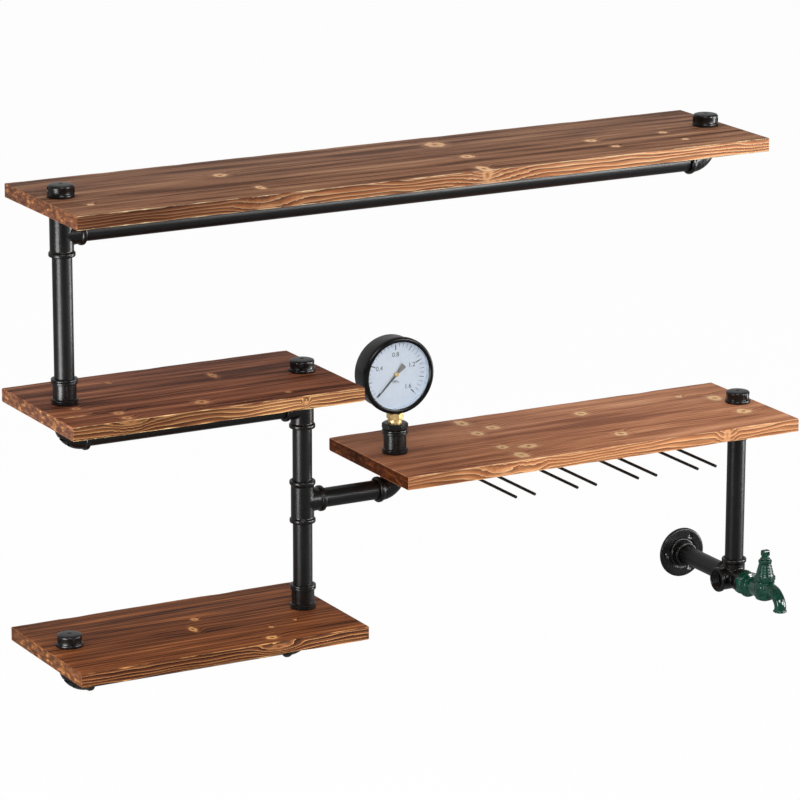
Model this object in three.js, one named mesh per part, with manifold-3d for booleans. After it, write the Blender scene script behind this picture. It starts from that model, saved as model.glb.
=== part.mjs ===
// Wall shelving unit of four wooden boards on a run of threaded iron pipe,
// with a pressure gauge, a garden tap and wire rails for stemmed glasses.
// Millimetres. X runs right, Y into the wall, Z up. The wall is the plane Y = 0.
// The origin lies on the back face of the wall flange, straight above the wall pipe.
import * as THREE from 'three';
import { mergeVertices } from 'three/addons/utils/BufferGeometryUtils.js';
import Module from 'manifold-3d';

const wasm = await Module();
wasm.setup();

// Places of the pipe axes
const wallToPipes = 144;
const leftToMiddleColumn = 352;
const middleColumnToGauge = 144;
const gaugeToRightColumn = 563;
const leftColumnToTopRight = 994;
const topToLeftShelf = 278;
const topToRightShelf = 412;
const topToBottomShelf = 614;
const topToWallPipe = 676;

// Boards, each hole set in from the end beside it
const boardDepth = 230;
const boardThickness = 19;
const boardFrontToPipes = 118;
const topLeftInset = 31;
const topRightInset = 30;
const leftShelfLeftInset = 42;
const leftShelfRightInset = 34;
const rightShelfLeftInset = 44;
const rightShelfRightInset = 27;
const bottomLeftInset = 36;
const bottomRightInset = 40;
const boardHoleClearance = 0.8;

// Pipe and clearances
const pipeRadius = 13.45;
const pipeWall = 2.6;
const seatGap = 0.3;
const endGap = 1;
const overrun = 1;
const weldDistance = 0.001;

// Elbows and tees
const fittingReach = 30;
const fittingRadius = 16;
const beadRadius = 18;
const beadWidth = 6;
const socketDepth = 14;
const waterwayRadius = 10.5;

// Couplings and caps
const couplingLength = 34;
const couplingRadius = 16.6;
const ribWidth = 3.4;
const ribHeight = 1.2;
const capHeight = 17;
const capRadius = 17;
const capRimRadius = 18.4;
const capRimHeight = 4.6;
const capEdge = 2.4;
const capSocketDepth = 12;

// Wall flange
const flangeRadius = 37;
const flangeThickness = 6;
const flangeHubRadius = 18;
const flangeHubHeight = 12;
const flangeHoleCircle = 27;
const flangeHoleRadius = 2.8;
const flangeSinkRadius = 5.4;
const flangeSinkDepth = 2.6;
const flangeGrip = 15;

// Reducing bush and brass stem under the gauge
const bushHexAcross = 32;
const bushHexHeight = 9;
const bushShankLength = 13;
const stemRadius = 10;
const stemShankLength = 12;
const stemCollarHeight = 5;
const stemHexAcross = 22;
const stemHexHeight = 9;
const stemNeckRadius = 5.4;
const stemBlockWidth = 14;
const stemBlockHeight = 22;

// Gauge, measured forward of the stem axis
const caseRadius = 51.5;
const caseWall = 1.5;
const bezelStandOut = 2.5;
const bezelLength = 8;
const bezelFront = 14;
const bezelLipWidth = 4;
const bezelLipThickness = 2.5;
const caseBack = 24;
const glassThickness = 2;
const dialThickness = 1;
const dialSetback = 8;
const dialHoleRadius = 2.5;

// Pointer and movement
const pointerLength = 41;
const pointerTailLength = 17;
const pointerWidth = 2.4;
const pointerTipWidth = 0.8;
const pointerTailWidth = 9;
const pointerThickness = 0.9;
const pointerLift = 2;
const pointerHubRadius = 3.2;
const pointerHubHeight = 2.4;
const arborRadius = 1.2;
const pinionRadius = 2.5;
const pinionLength = 4;
const dialToPinion = 3;
const sectorRadius = 15;
const sectorThickness = 2;
const sectorHubRadius = 3;
const sectorPinRadius = 1.4;
const sectorTailLength = 15;
const sectorTailWidth = 5;
const sectorTailThickness = 4;
const pinionToPlate = 1;
const plateThickness = 2;
const plateMargin = 5;
const tubeBendRadius = 35;
const tubeWidth = 9;
const tubeThickness = 4;

// Tap, measured along its axis from the face of the front outlet
const tapHexAcross = 34;
const tapHexLength = 11;
const tapCollarRadius = 18.5;
const tapCollarLength = 3.5;
const tapWaistRadius = 11;
const tapBarrelRadius = 12.5;
const tapBossFromFace = 51;
const tapBossRadius = 14.5;
const tapBossTop = 17;
const tapBossBottom = 12.5;
const tapSpoutRadius = 8.8;
const tapSpoutRise = 8;
const tapSpoutReach = 41;
const tapSpoutDrop = 19;
const tapLipRadius = 10;
const tapLipLength = 3;
const tapSpoutBoreRadius = 5.2;
const tapInletBoreRadius = 5;
const tapInletBoreDrop = 5.5;
const tapSeatRadius = 4.4;
const tapChamberRadius = 10;
const tapChamberFloor = 1;
const tapValveRadius = 8;
const tapValveHeight = 4;
const tapValvePinRadius = 2;
const tapValvePinLength = 4;
const bonnetShankLength = 4;
const bonnetHexAcross = 27;
const bonnetHexHeight = 8;
const bonnetStepHeight = 9;
const bonnetLowRadius = 12;
const bonnetMidRadius = 10;
const bonnetHighRadius = 8;
const packingNutAcross = 17;
const packingNutHeight = 5;
const spindleRadius = 4;
const handleHubRadius = 7.5;
const handleHubHeight = 6;
const handleNeckRadius = 4.6;
const handleNeckHeight = 5;
const handleBarLength = 17;
const handleBarHeight = 5;
const handleBarThickness = 6;
const handleLoopRadius = 5.2;
const handleLoopHoleRadius = 1.9;
const handleGrip = 8;

// Rails for stemmed glasses
const railPitch = 98.5;
const railFromGauge = 140;
const railRodRadius = 2.1;
const railRodSpacing = 30;
const railDrop = 32;
const railBackSetIn = 30;
const railBend = 8;
const railPlateLength = 48;
const railPlateWidth = 24;
const railPlateThickness = 2;
const railScrewRadius = 2.2;
const railCount = 4;

// Facets, angles and shares
const roundFacets = 16;
const boreFacets = 10;
const thinFacets = 8;
const discFacets = 36;
const bendSteps = 4;
const spoutSteps = 9;
const tubeSteps = 14;
const screwShare = 0.66;
const bossChamferShare = 0.55;
const spoutShares = [[0, 0.55], [0.5, 1], [0.86, 0.4]];
const zeroMarkAngle = Math.PI * 1.25;
const flangeHoleAngles = [Math.PI / 3, Math.PI, Math.PI * 5 / 3];
const sectorPinAngle = -Math.PI / 4;
const sectorSweep = Math.PI * 0.32;
const sectorLead = Math.PI * 0.285;
const tubeSweepAngle = -Math.PI * 1.4;

// Places worked out from the sizes above
const gaugeX = -gaugeToRightColumn;
const middleX = gaugeX - middleColumnToGauge;
const leftX = middleX - leftToMiddleColumn;
const topRightX = leftX + leftColumnToTopRight;
const pipeY = -wallToPipes;
const wallPipeZ = -flangeHoleCircle;
const topZ = wallPipeZ + topToWallPipe;
const leftShelfZ = topZ - topToLeftShelf;
const rightShelfZ = topZ - topToRightShelf;
const bottomZ = topZ - topToBottomShelf;
const underBoard = boardThickness + seatGap + fittingReach;
const pipeGrip = socketDepth - endGap;
const couplingGrip = couplingLength / 2 - endGap;
const capGrip = capSocketDepth - endGap;
const bezelRadius = caseRadius + bezelStandOut;
const bezelLipRadius = caseRadius - bezelLipWidth;
const dialFront = bezelFront - dialSetback - bezelLipThickness - glassThickness;
const gaugeRise = bushHexHeight + stemCollarHeight + stemHexHeight + bezelRadius + seatGap;
const gaugeZ = rightShelfZ + couplingLength + gaugeRise + 2 * seatGap;
const tapFaceY = pipeY - fittingReach;

// Directions
const left = new THREE.Vector3(-1, 0, 0);
const right = new THREE.Vector3(1, 0, 0);
const front = new THREE.Vector3(0, -1, 0);
const back = new THREE.Vector3(0, 1, 0);
const up = new THREE.Vector3(0, 0, 1);
const down = new THREE.Vector3(0, 0, -1);

// A radius whose flat-sided circle still clears a round of the given radius
function boreAround(radius, gap = seatGap, facets = roundFacets) {
  return (radius + gap) / Math.cos(Math.PI / facets);
}

function signedVolume(points, triangles) {
  let sum = 0;
  for (let i = 0; i < triangles.length; i += 3) {
    const [a, b, c] = [0, 1, 2].map((k) => new THREE.Vector3().fromArray(points, triangles[i + k] * 3));
    sum += a.dot(b.cross(c));
  }
  return sum;
}

// Shared points become one, and triangles that shrink to a line are left out
function weld(geometry) {
  const bare = geometry.clone();
  bare.deleteAttribute('normal');
  bare.deleteAttribute('uv');
  const merged = mergeVertices(bare, weldDistance);
  const points = new Float32Array(merged.attributes.position.array);
  const triangles = [];
  for (let i = 0; i < merged.index.count; i += 3) {
    const [a, b, c] = [0, 1, 2].map((k) => merged.index.getX(i + k));
    if (a !== b && b !== c && c !== a) triangles.push(a, b, c);
  }
  return { points, triangles };
}

// A three.js geometry as a closed solid that can be joined and cut
function solid(geometry) {
  const { points, triangles } = weld(geometry);
  if (signedVolume(points, triangles) < 0) triangles.reverse();
  const mesh = new wasm.Mesh({ numProp: 3, vertProperties: points, triVerts: new Uint32Array(triangles) });
  return new wasm.Manifold(mesh);
}

function join(solids) {
  return solids.reduce((whole, next) => whole.add(next));
}

function cut(whole, tools) {
  return tools.reduce((rest, tool) => rest.subtract(tool), whole);
}

// Turns what was made along +Z to another direction and moves it to its start
function aim(geometry, direction, start = new THREE.Vector3()) {
  geometry.applyQuaternion(new THREE.Quaternion().setFromUnitVectors(up, direction));
  return geometry.translate(start.x, start.y, start.z);
}

// A turned shape; each profile point is a radius and a height along the axis
function turned(profile, direction = up, start = undefined, facets = roundFacets) {
  const points = profile.map(([radius, height]) => new THREE.Vector2(radius, height));
  const geometry = new THREE.LatheGeometry(points, facets);
  geometry.rotateX(Math.PI / 2);
  return solid(aim(geometry, direction, start));
}

function rod(radius, from, to, direction = up, start = undefined, facets = roundFacets) {
  return turned([[0, from], [radius, from], [radius, to], [0, to]], direction, start, facets);
}

function tube(outer, inner, from, to, direction = up, start = undefined, facets = roundFacets) {
  const profile = [[inner, from], [outer, from], [outer, to], [inner, to], [inner, from]];
  return turned(profile, direction, start, facets);
}

function block(width, depth, height, x = 0, y = 0, z = 0) {
  const geometry = new THREE.BoxGeometry(width, depth, height);
  return solid(geometry.translate(x, y, z));
}

function outline(points) {
  return new THREE.Shape(points.map(([x, y]) => new THREE.Vector2(x, y)));
}

function polygon(radius, sides, turn = 0, squash = 1) {
  const corners = Array.from({ length: sides }, (_, i) => turn + (i * 2 * Math.PI) / sides);
  return outline(corners.map((angle) => [radius * Math.cos(angle), radius * squash * Math.sin(angle)]));
}

function slab(shape, thickness, direction = up, start = undefined) {
  const geometry = new THREE.ExtrudeGeometry(shape, { depth: thickness, bevelEnabled: false });
  return solid(aim(geometry, direction, start));
}

function hex(across, height, direction = up, start = undefined) {
  return slab(polygon(across / Math.sqrt(3), 6), height, direction, start);
}

function sweep(shape, path, steps) {
  return solid(new THREE.ExtrudeGeometry(shape, { steps, extrudePath: path, bevelEnabled: false }));
}

// Part of a circle in the plane of two square directions
class ArcPath extends THREE.Curve {
  constructor(centre, first, second, radius, startAngle, sweepAngle) {
    super();
    Object.assign(this, { centre, first, second, radius, startAngle, sweepAngle });
  }
  getPoint(t, target = new THREE.Vector3()) {
    const angle = this.startAngle + t * this.sweepAngle;
    target.copy(this.centre);
    target.addScaledVector(this.first, this.radius * Math.cos(angle));
    return target.addScaledVector(this.second, this.radius * Math.sin(angle));
  }
  getTangent(t, target = new THREE.Vector3()) {
    const angle = this.startAngle + t * this.sweepAngle;
    const sense = Math.sign(this.sweepAngle);
    target.copy(this.first).multiplyScalar(-sense * Math.sin(angle));
    return target.addScaledVector(this.second, sense * Math.cos(angle));
  }
}

// A quarter bend between two square directions that meet at the origin
function quarterBend(radius, bend, first, second, facets, at = new THREE.Vector3()) {
  const centre = at.clone().addScaledVector(first, bend).addScaledVector(second, bend);
  const path = new ArcPath(centre, second, first, bend, Math.PI, Math.PI / 2);
  return sweep(polygon(radius, facets), path, bendSteps);
}

const group = new THREE.Group();
const wood = { color: 0x7a4a2e, roughness: 0.6, metalness: 0 };
const iron = { color: 0x1d1e20, roughness: 0.5, metalness: 0.6 };
const brass = { color: 0xc79a45, roughness: 0.3, metalness: 1 };
const steel = { color: 0x9a9da0, roughness: 0.35, metalness: 1 };
const green = { color: 0x0f4a34, roughness: 0.25, metalness: 0.1 };

function add(name, body, look, x = 0, y = 0, z = 0) {
  const { vertProperties, triVerts } = body.getMesh();
  const raw = new THREE.BufferGeometry();
  raw.setAttribute('position', new THREE.BufferAttribute(vertProperties, 3));
  raw.setIndex(new THREE.BufferAttribute(triVerts, 1));
  const { points, triangles } = weld(raw);
  const geometry = new THREE.BufferGeometry();
  geometry.setAttribute('position', new THREE.BufferAttribute(points, 3));
  geometry.setIndex(triangles);
  geometry.computeVertexNormals();
  const mesh = new THREE.Mesh(geometry, new THREE.MeshStandardMaterial(look));
  mesh.name = name;
  mesh.position.set(x, y, z);
  group.add(mesh);
}

// Boards

function board(name, firstX, lastX, firstInset, lastInset, z) {
  const length = firstInset + lastX - firstX + lastInset;
  const centreX = (firstX - firstInset + lastX + lastInset) / 2;
  const plank = block(length, boardDepth, boardThickness, 0, 0, 0);
  const pipesFromCentre = boardFrontToPipes - boardDepth / 2;
  const reach = boardThickness / 2 + overrun;
  const radius = boreAround(pipeRadius, boardHoleClearance);
  const holes = [firstX, lastX].map((x) => {
    const start = new THREE.Vector3(x - centreX, pipesFromCentre, 0);
    return rod(radius, -reach, reach, up, start);
  });
  add(name, cut(plank, holes), wood, centreX, pipeY - pipesFromCentre, z - boardThickness / 2);
}

// Fittings, each made round the point where its axes meet

function bead(direction, from = fittingReach - beadWidth) {
  return rod(beadRadius, from, fittingReach, direction);
}

function socket(direction) {
  return rod(boreAround(pipeRadius), fittingReach - socketDepth, fittingReach + overrun, direction);
}

// A straight run with one or two outlets square to it
function branched(first, second, outlets) {
  const ends = [first, second, ...outlets];
  const outside = join([
    rod(fittingRadius, -fittingReach + beadWidth / 2, fittingReach - beadWidth / 2, first),
    ...outlets.map((direction) => rod(fittingRadius, 0, fittingReach - beadWidth / 2, direction)),
    ...ends.map((direction) => bead(direction)),
  ]);
  return cut(outside, [
    rod(waterwayRadius, -fittingReach, fittingReach, first, undefined, boreFacets),
    ...outlets.map((direction) => rod(waterwayRadius, 0, fittingReach, direction, undefined, boreFacets)),
    ...ends.map(socket),
  ]);
}

function elbow(first, second) {
  const bend = fittingReach - beadWidth;
  const ends = [first, second];
  const outside = join([
    quarterBend(fittingRadius, bend, first, second, roundFacets),
    ...ends.map((direction) => bead(direction, bend - beadWidth / 4)),
  ]);
  return cut(outside, [
    quarterBend(waterwayRadius, bend, first, second, boreFacets),
    ...ends.map(socket),
  ]);
}

// A bar through the axis that leaves a rib on either side once the bore is cut
function ribs(radius, from, to) {
  return block(2 * radius, ribWidth, to - from, 0, 0, (from + to) / 2);
}

function coupling() {
  const profile = [
    [0, 0], [beadRadius, 0], [beadRadius, beadWidth], [couplingRadius, beadWidth],
    [couplingRadius, couplingLength - beadWidth], [beadRadius, couplingLength - beadWidth],
    [beadRadius, couplingLength], [0, couplingLength],
  ];
  const outside = join([
    turned(profile),
    ribs(couplingRadius + ribHeight, beadWidth / 2, couplingLength - beadWidth / 2),
  ]);
  return cut(outside, [rod(boreAround(pipeRadius), -overrun, couplingLength + overrun)]);
}

function cap() {
  const profile = [
    [0, 0], [capRimRadius, 0], [capRimRadius, capRimHeight], [capRadius, capRimHeight],
    [capRadius, capHeight - capEdge], [capRadius - capEdge, capHeight], [0, capHeight],
  ];
  const outside = join([
    turned(profile),
    ribs(capRimRadius, capRimHeight / 2, capHeight - capEdge),
  ]);
  return cut(outside, [rod(boreAround(pipeRadius), -overrun, capSocketDepth)]);
}

// A pipe between two heights or places along a direction
function pipe(name, length, direction, x, y, z) {
  add(name, tube(pipeRadius, pipeRadius - pipeWall, 0, length, direction), iron, x, y, z);
}

// The threaded nipple that clamps a board between what is over and under it
function nipple(name, x, boardTop, gripOver) {
  const low = boardTop - boardThickness - seatGap - pipeGrip;
  const high = boardTop + seatGap + gripOver;
  pipe(name, high - low, up, x, pipeY, low);
}

function wallFlange() {
  const reach = flangeThickness + flangeHubHeight;
  const outside = join([
    rod(flangeRadius, 0, flangeThickness, front, undefined, 2 * roundFacets),
    rod(flangeHubRadius, flangeThickness / 2, reach, front),
  ]);
  const holes = flangeHoleAngles.map((angle) => {
    const start = new THREE.Vector3(Math.cos(angle), 0, Math.sin(angle)).multiplyScalar(flangeHoleCircle);
    return turned([
      [0, -overrun], [flangeHoleRadius, -overrun], [flangeHoleRadius, flangeThickness - flangeSinkDepth],
      [flangeSinkRadius, flangeThickness], [flangeSinkRadius, flangeThickness + overrun],
      [0, flangeThickness + overrun],
    ], front, start, boreFacets);
  });
  return cut(outside, [rod(boreAround(pipeRadius), -overrun, reach + overrun, front), ...holes]);
}

// Pipework

function addPipework() {
  const top = topZ - underBoard;
  const leftShelf = leftShelfZ - underBoard;
  const rightShelf = rightShelfZ - underBoard;
  const bottom = bottomZ - underBoard;
  const columnCoupling = couplingLength + seatGap;
  const inside = fittingReach - pipeGrip;
  const overCoupling = columnCoupling - couplingGrip;

  add('cap_top_left', cap(), iron, leftX, pipeY, topZ + seatGap);
  add('cap_top_right', cap(), iron, topRightX, pipeY, topZ + seatGap);
  add('cap_left_shelf', cap(), iron, middleX, pipeY, leftShelfZ + seatGap);
  add('cap_right_shelf', cap(), iron, 0, pipeY, rightShelfZ + seatGap);
  add('cap_bottom_shelf', cap(), iron, leftX, pipeY, bottomZ + seatGap);

  add('tee_top_left', branched(up, down, [right]), iron, leftX, pipeY, top);
  add('tee_left_shelf', branched(up, down, [left]), iron, middleX, pipeY, leftShelf);
  add('tee_middle_column', branched(up, down, [right]), iron, middleX, pipeY, rightShelf);
  add('tee_side_outlet', branched(front, back, [up, left]), iron, 0, pipeY, wallPipeZ);

  add('elbow_top_right', elbow(up, left), iron, topRightX, pipeY, top);
  add('elbow_left_shelf', elbow(up, right), iron, leftX, pipeY, leftShelf);
  add('elbow_right_shelf', elbow(up, left), iron, gaugeX, pipeY, rightShelf);
  add('elbow_bottom_left', elbow(up, right), iron, leftX, pipeY, bottom);
  add('elbow_bottom_right', elbow(up, left), iron, middleX, pipeY, bottom);

  const underRight = rightShelfZ - boardThickness - columnCoupling;
  add('coupling_left_column', coupling(), iron, leftX, pipeY, leftShelfZ + seatGap);
  add('coupling_middle_column', coupling(), iron, middleX, pipeY, bottomZ + seatGap);
  add('coupling_gauge', coupling(), iron, gaugeX, pipeY, rightShelfZ + seatGap);
  add('coupling_right_column', coupling(), iron, 0, pipeY, underRight);

  pipe('pipe_top', leftColumnToTopRight - 2 * inside, right, leftX + inside, pipeY, top);
  pipe('pipe_left_shelf', leftToMiddleColumn - 2 * inside, right, leftX + inside, pipeY, leftShelf);
  pipe('pipe_bottom', leftToMiddleColumn - 2 * inside, right, leftX + inside, pipeY, bottom);
  pipe('pipe_branch', middleColumnToGauge - 2 * inside, right, middleX + inside, pipeY, rightShelf);

  const columnPipe = (name, x, low, high) => pipe(name, high - low, up, x, pipeY, low);
  columnPipe('pipe_left_column', leftX, leftShelfZ + overCoupling, top - inside);
  columnPipe('pipe_middle_column_upper', middleX, rightShelf + inside, leftShelf - inside);
  columnPipe('pipe_middle_column_lower', middleX, bottomZ + overCoupling, rightShelf - inside);
  columnPipe('pipe_right_column', 0, wallPipeZ + inside, underRight + couplingGrip);

  nipple('nipple_top_left', leftX, topZ, capGrip);
  nipple('nipple_top_right', topRightX, topZ, capGrip);
  nipple('nipple_left_shelf_left', leftX, leftShelfZ, couplingGrip);
  nipple('nipple_left_shelf_right', middleX, leftShelfZ, capGrip);
  nipple('nipple_right_shelf_left', gaugeX, rightShelfZ, couplingGrip);
  nipple('nipple_right_shelf_right', 0, rightShelfZ, capGrip);
  nipple('nipple_bottom_left', leftX, bottomZ, capGrip);
  nipple('nipple_bottom_right', middleX, bottomZ, couplingGrip);

  const flangeReach = flangeThickness + flangeHubHeight;
  const wallPipeLength = wallToPipes - inside - flangeReach + flangeGrip;
  add('wall_flange', wallFlange(), iron, 0, 0, wallPipeZ);
  pipe('pipe_wall', wallPipeLength, back, 0, pipeY + inside, wallPipeZ);
}

// Gauge, made round the middle of its dial; the stem comes up from below

function reducingBush() {
  const outside = join([
    hex(bushHexAcross, bushHexHeight),
    rod(pipeRadius, -bushShankLength, overrun),
  ]);
  return cut(outside, [rod(boreAround(stemRadius), -bushShankLength - overrun, bushHexHeight + overrun)]);
}

function gaugeStem() {
  const hexTop = -bezelRadius - seatGap;
  const hexBottom = hexTop - stemHexHeight;
  const collarBottom = hexBottom - stemCollarHeight;
  const insideWall = caseRadius - caseWall;
  const postRadius = stemNeckRadius / 2;
  const postStart = new THREE.Vector3(0, postRadius, 0);
  const blockDepth = caseBack - caseWall - endGap;
  const blockBottom = endGap - insideWall;
  const blockZ = blockBottom + stemBlockHeight / 2;
  return join([
    rod(stemRadius, collarBottom - stemShankLength, hexBottom + overrun),
    hex(stemHexAcross, stemHexHeight, up, new THREE.Vector3(0, 0, hexBottom)),
    rod(stemNeckRadius, hexTop - overrun, -insideWall - seatGap),
    rod(postRadius, -caseRadius, blockBottom + overrun, up, postStart, boreFacets),
    block(stemBlockWidth, blockDepth, stemBlockHeight, 0, blockDepth / 2, blockZ),
  ]);
}

function gaugeCase() {
  const rim = bezelFront - bezelLipThickness - glassThickness - 2 * seatGap;
  const shell = turned([
    [0, -caseBack], [caseRadius, -caseBack], [caseRadius, rim], [caseRadius - caseWall, rim],
    [caseRadius - caseWall, caseWall - caseBack], [0, caseWall - caseBack],
  ], front, undefined, discFacets);
  return cut(shell, [rod(boreAround(stemNeckRadius), -bezelRadius, -bezelRadius / 2)]);
}

function gaugeBezel() {
  const clear = boreAround(caseRadius, seatGap, discFacets);
  const lipBack = bezelFront - bezelLipThickness;
  return turned([
    [clear, bezelFront - bezelLength], [bezelRadius, bezelFront - bezelLength],
    [bezelRadius, bezelFront], [bezelLipRadius, bezelFront], [bezelLipRadius, lipBack],
    [clear, lipBack], [clear, bezelFront - bezelLength],
  ], front, undefined, discFacets);
}

function gaugePointer() {
  const bladeFront = dialFront + pointerLift + pointerThickness;
  const hubFront = bladeFront + pointerHubHeight - pointerThickness;
  const pinionFront = dialFront - dialThickness - dialToPinion;
  const plateBack = pinionFront - pinionLength - pinionToPlate - plateThickness;
  const blade = outline([
    [0, -pointerWidth / 2], [pointerLength, -pointerTipWidth / 2], [pointerLength, pointerTipWidth / 2],
    [0, pointerWidth / 2], [-pointerTailLength, pointerTailWidth / 2],
    [-pointerTailLength, -pointerTailWidth / 2],
  ]);
  const flat = new THREE.ExtrudeGeometry(blade, { depth: pointerThickness, bevelEnabled: false });
  flat.rotateX(Math.PI / 2).rotateY(-zeroMarkAngle).translate(0, pointerThickness - bladeFront, 0);
  return join([
    solid(flat),
    rod(pointerHubRadius, bladeFront - pointerThickness, hubFront, front, undefined, boreFacets),
    rod(arborRadius, plateBack, bladeFront, front, undefined, thinFacets),
    rod(pinionRadius, pinionFront - pinionLength, pinionFront, front, undefined, boreFacets),
  ]);
}

// The wedge of the sector turns past the pinion, in the plane that faces the dial
function sectorPlace() {
  const reach = boreAround(pinionRadius + sectorRadius);
  return [reach * Math.cos(sectorPinAngle), reach * Math.sin(sectorPinAngle)];
}

function movementDepths() {
  const pinionFront = dialThickness + dialToPinion - dialFront;
  const middle = pinionFront + pinionLength / 2;
  const plateFront = pinionFront + pinionLength + pinionToPlate;
  return { middle, plateFront };
}

function gaugeSector() {
  const { middle, plateFront } = movementDepths();
  const towardPinion = sectorPinAngle + Math.PI;
  const startAngle = towardPinion - sectorLead;
  const wedge = new THREE.Shape();
  wedge.moveTo(0, 0);
  wedge.absarc(0, 0, sectorRadius, startAngle, startAngle + sectorSweep, false);
  wedge.lineTo(0, 0);
  const settings = { depth: sectorThickness, bevelEnabled: false, curveSegments: thinFacets };
  const flat = new THREE.ExtrudeGeometry(wedge, settings);
  const half = sectorThickness / 2;
  flat.rotateX(Math.PI / 2).translate(0, middle + half, 0);
  const tail = new THREE.BoxGeometry(sectorTailLength, sectorTailThickness, sectorTailWidth);
  tail.translate(-sectorTailLength / 2, middle, 0).rotateY(-startAngle - sectorSweep / 2);
  return join([
    solid(flat),
    solid(tail),
    rod(sectorHubRadius, -middle - half, half - middle, front, undefined, boreFacets),
    rod(sectorPinRadius, -plateFront - plateThickness, -middle, front, undefined, thinFacets),
  ]);
}

function movementPlate() {
  const { plateFront } = movementDepths();
  const [pinX, pinZ] = sectorPlace();
  const low = endGap - caseRadius + caseWall + stemBlockHeight + seatGap;
  const high = plateMargin;
  const width = pinX + 2 * plateMargin;
  const plateY = plateFront + plateThickness / 2;
  const plate = block(width, plateThickness, high - low, pinX / 2, plateY, (high + low) / 2);
  const hole = (radius, x, z) => {
    const start = new THREE.Vector3(x, 0, z);
    const clear = boreAround(radius, seatGap, thinFacets);
    const far = -plateFront - plateThickness - overrun;
    return rod(clear, far, overrun - plateFront, front, start, thinFacets);
  };
  return cut(plate, [hole(arborRadius, 0, 0), hole(sectorPinRadius, pinX, pinZ)]);
}

function bourdonTube() {
  const { plateFront } = movementDepths();
  const centre = new THREE.Vector3(0, plateFront + plateThickness + tubeWidth / 2 + seatGap, 0);
  const blockSide = stemBlockWidth / 2 + seatGap;
  const fromBlock = Math.asin(blockSide / (tubeBendRadius - tubeThickness / 2));
  const path = new ArcPath(centre, right, up, tubeBendRadius, -Math.PI / 2 - fromBlock, tubeSweepAngle);
  const section = polygon(tubeWidth / 2, thinFacets, 0, tubeThickness / tubeWidth);
  return sweep(section, path, tubeSteps);
}

function addGauge() {
  const glassBack = bezelFront - bezelLipThickness - seatGap - glassThickness;
  const dialRadius = caseRadius - caseWall - 2 * seatGap;
  const dialBack = dialFront - dialThickness;
  const dial = tube(dialRadius, dialHoleRadius, dialBack, dialFront, front, undefined, discFacets);
  const glass = rod(caseRadius, glassBack, glassBack + glassThickness, front, undefined, discFacets);
  const [pinX, pinZ] = sectorPlace();
  const bushZ = rightShelfZ + couplingLength + 2 * seatGap;
  add('gauge_bush', reducingBush(), iron, gaugeX, pipeY, bushZ);
  add('gauge_stem', gaugeStem(), brass, gaugeX, pipeY, gaugeZ);
  add('gauge_case', gaugeCase(), { ...iron, roughness: 0.2 }, gaugeX, pipeY, gaugeZ);
  add('gauge_bezel', gaugeBezel(), { ...iron, roughness: 0.2 }, gaugeX, pipeY, gaugeZ);
  add('gauge_dial', dial, { color: 0xdfe8ef, roughness: 0.6, metalness: 0 }, gaugeX, pipeY, gaugeZ);
  add('gauge_glass', glass, { color: 0xf4f8fa, roughness: 0.05, metalness: 0 }, gaugeX, pipeY, gaugeZ);
  add('gauge_pointer', gaugePointer(), { ...iron, roughness: 0.4 }, gaugeX, pipeY, gaugeZ);
  add('gauge_bourdon_tube', bourdonTube(), brass, gaugeX, pipeY, gaugeZ);
  add('gauge_movement_plate', movementPlate(), brass, gaugeX, pipeY, gaugeZ);
  add('gauge_sector', gaugeSector(), brass, gaugeX + pinX, pipeY, gaugeZ + pinZ);
}

// Tap, made round the point where its axis meets the face of the front outlet

function spoutPath() {
  const mouthY = -tapBossFromFace - tapSpoutReach;
  const arch = spoutShares.map(([along, rise]) => (
    new THREE.Vector3(0, -tapBossFromFace - along * tapSpoutReach, rise * tapSpoutRise)
  ));
  return new THREE.CatmullRomCurve3([
    ...arch,
    new THREE.Vector3(0, mouthY, -tapSpoutDrop / 2),
    new THREE.Vector3(0, mouthY, -tapSpoutDrop),
  ]);
}

function tapBody() {
  const collarEnd = tapHexLength + tapCollarLength;
  const bossAt = new THREE.Vector3(0, -tapBossFromFace, 0);
  const outletAt = new THREE.Vector3(0, -tapBossFromFace - tapSpoutReach, -tapSpoutDrop);
  const inletAt = new THREE.Vector3(0, 0, -tapInletBoreDrop);
  const outside = join([
    rod(pipeRadius, -pipeGrip, overrun, front),
    hex(tapHexAcross, tapHexLength - seatGap, front, new THREE.Vector3(0, -seatGap, 0)),
    turned([
      [0, tapHexLength], [tapCollarRadius, tapHexLength], [tapCollarRadius, collarEnd],
      [tapWaistRadius, collarEnd + tapCollarLength], [tapBarrelRadius, tapBossFromFace],
      [0, tapBossFromFace],
    ], front),
    turned([
      [0, -tapBossBottom], [tapBossRadius * bossChamferShare, -tapBossBottom],
      [tapBossRadius, -tapBossBottom * bossChamferShare], [tapBossRadius, tapBossTop], [0, tapBossTop],
    ], up, bossAt),
    sweep(polygon(tapSpoutRadius, boreFacets), spoutPath(), spoutSteps),
    rod(tapLipRadius, 0, tapLipLength, up, outletAt, boreFacets),
  ]);
  return cut(outside, [
    rod(tapInletBoreRadius, -pipeGrip - overrun, tapBossFromFace, front, inletAt, thinFacets),
    rod(tapSeatRadius, -tapInletBoreDrop, tapChamberFloor + overrun, up, bossAt, thinFacets),
    rod(tapChamberRadius, tapChamberFloor, tapBossTop + overrun, up, bossAt),
    sweep(polygon(tapSpoutBoreRadius, thinFacets), spoutPath(), spoutSteps),
    rod(tapSpoutBoreRadius, -overrun, overrun, up, outletAt, thinFacets),
  ]);
}

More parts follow.
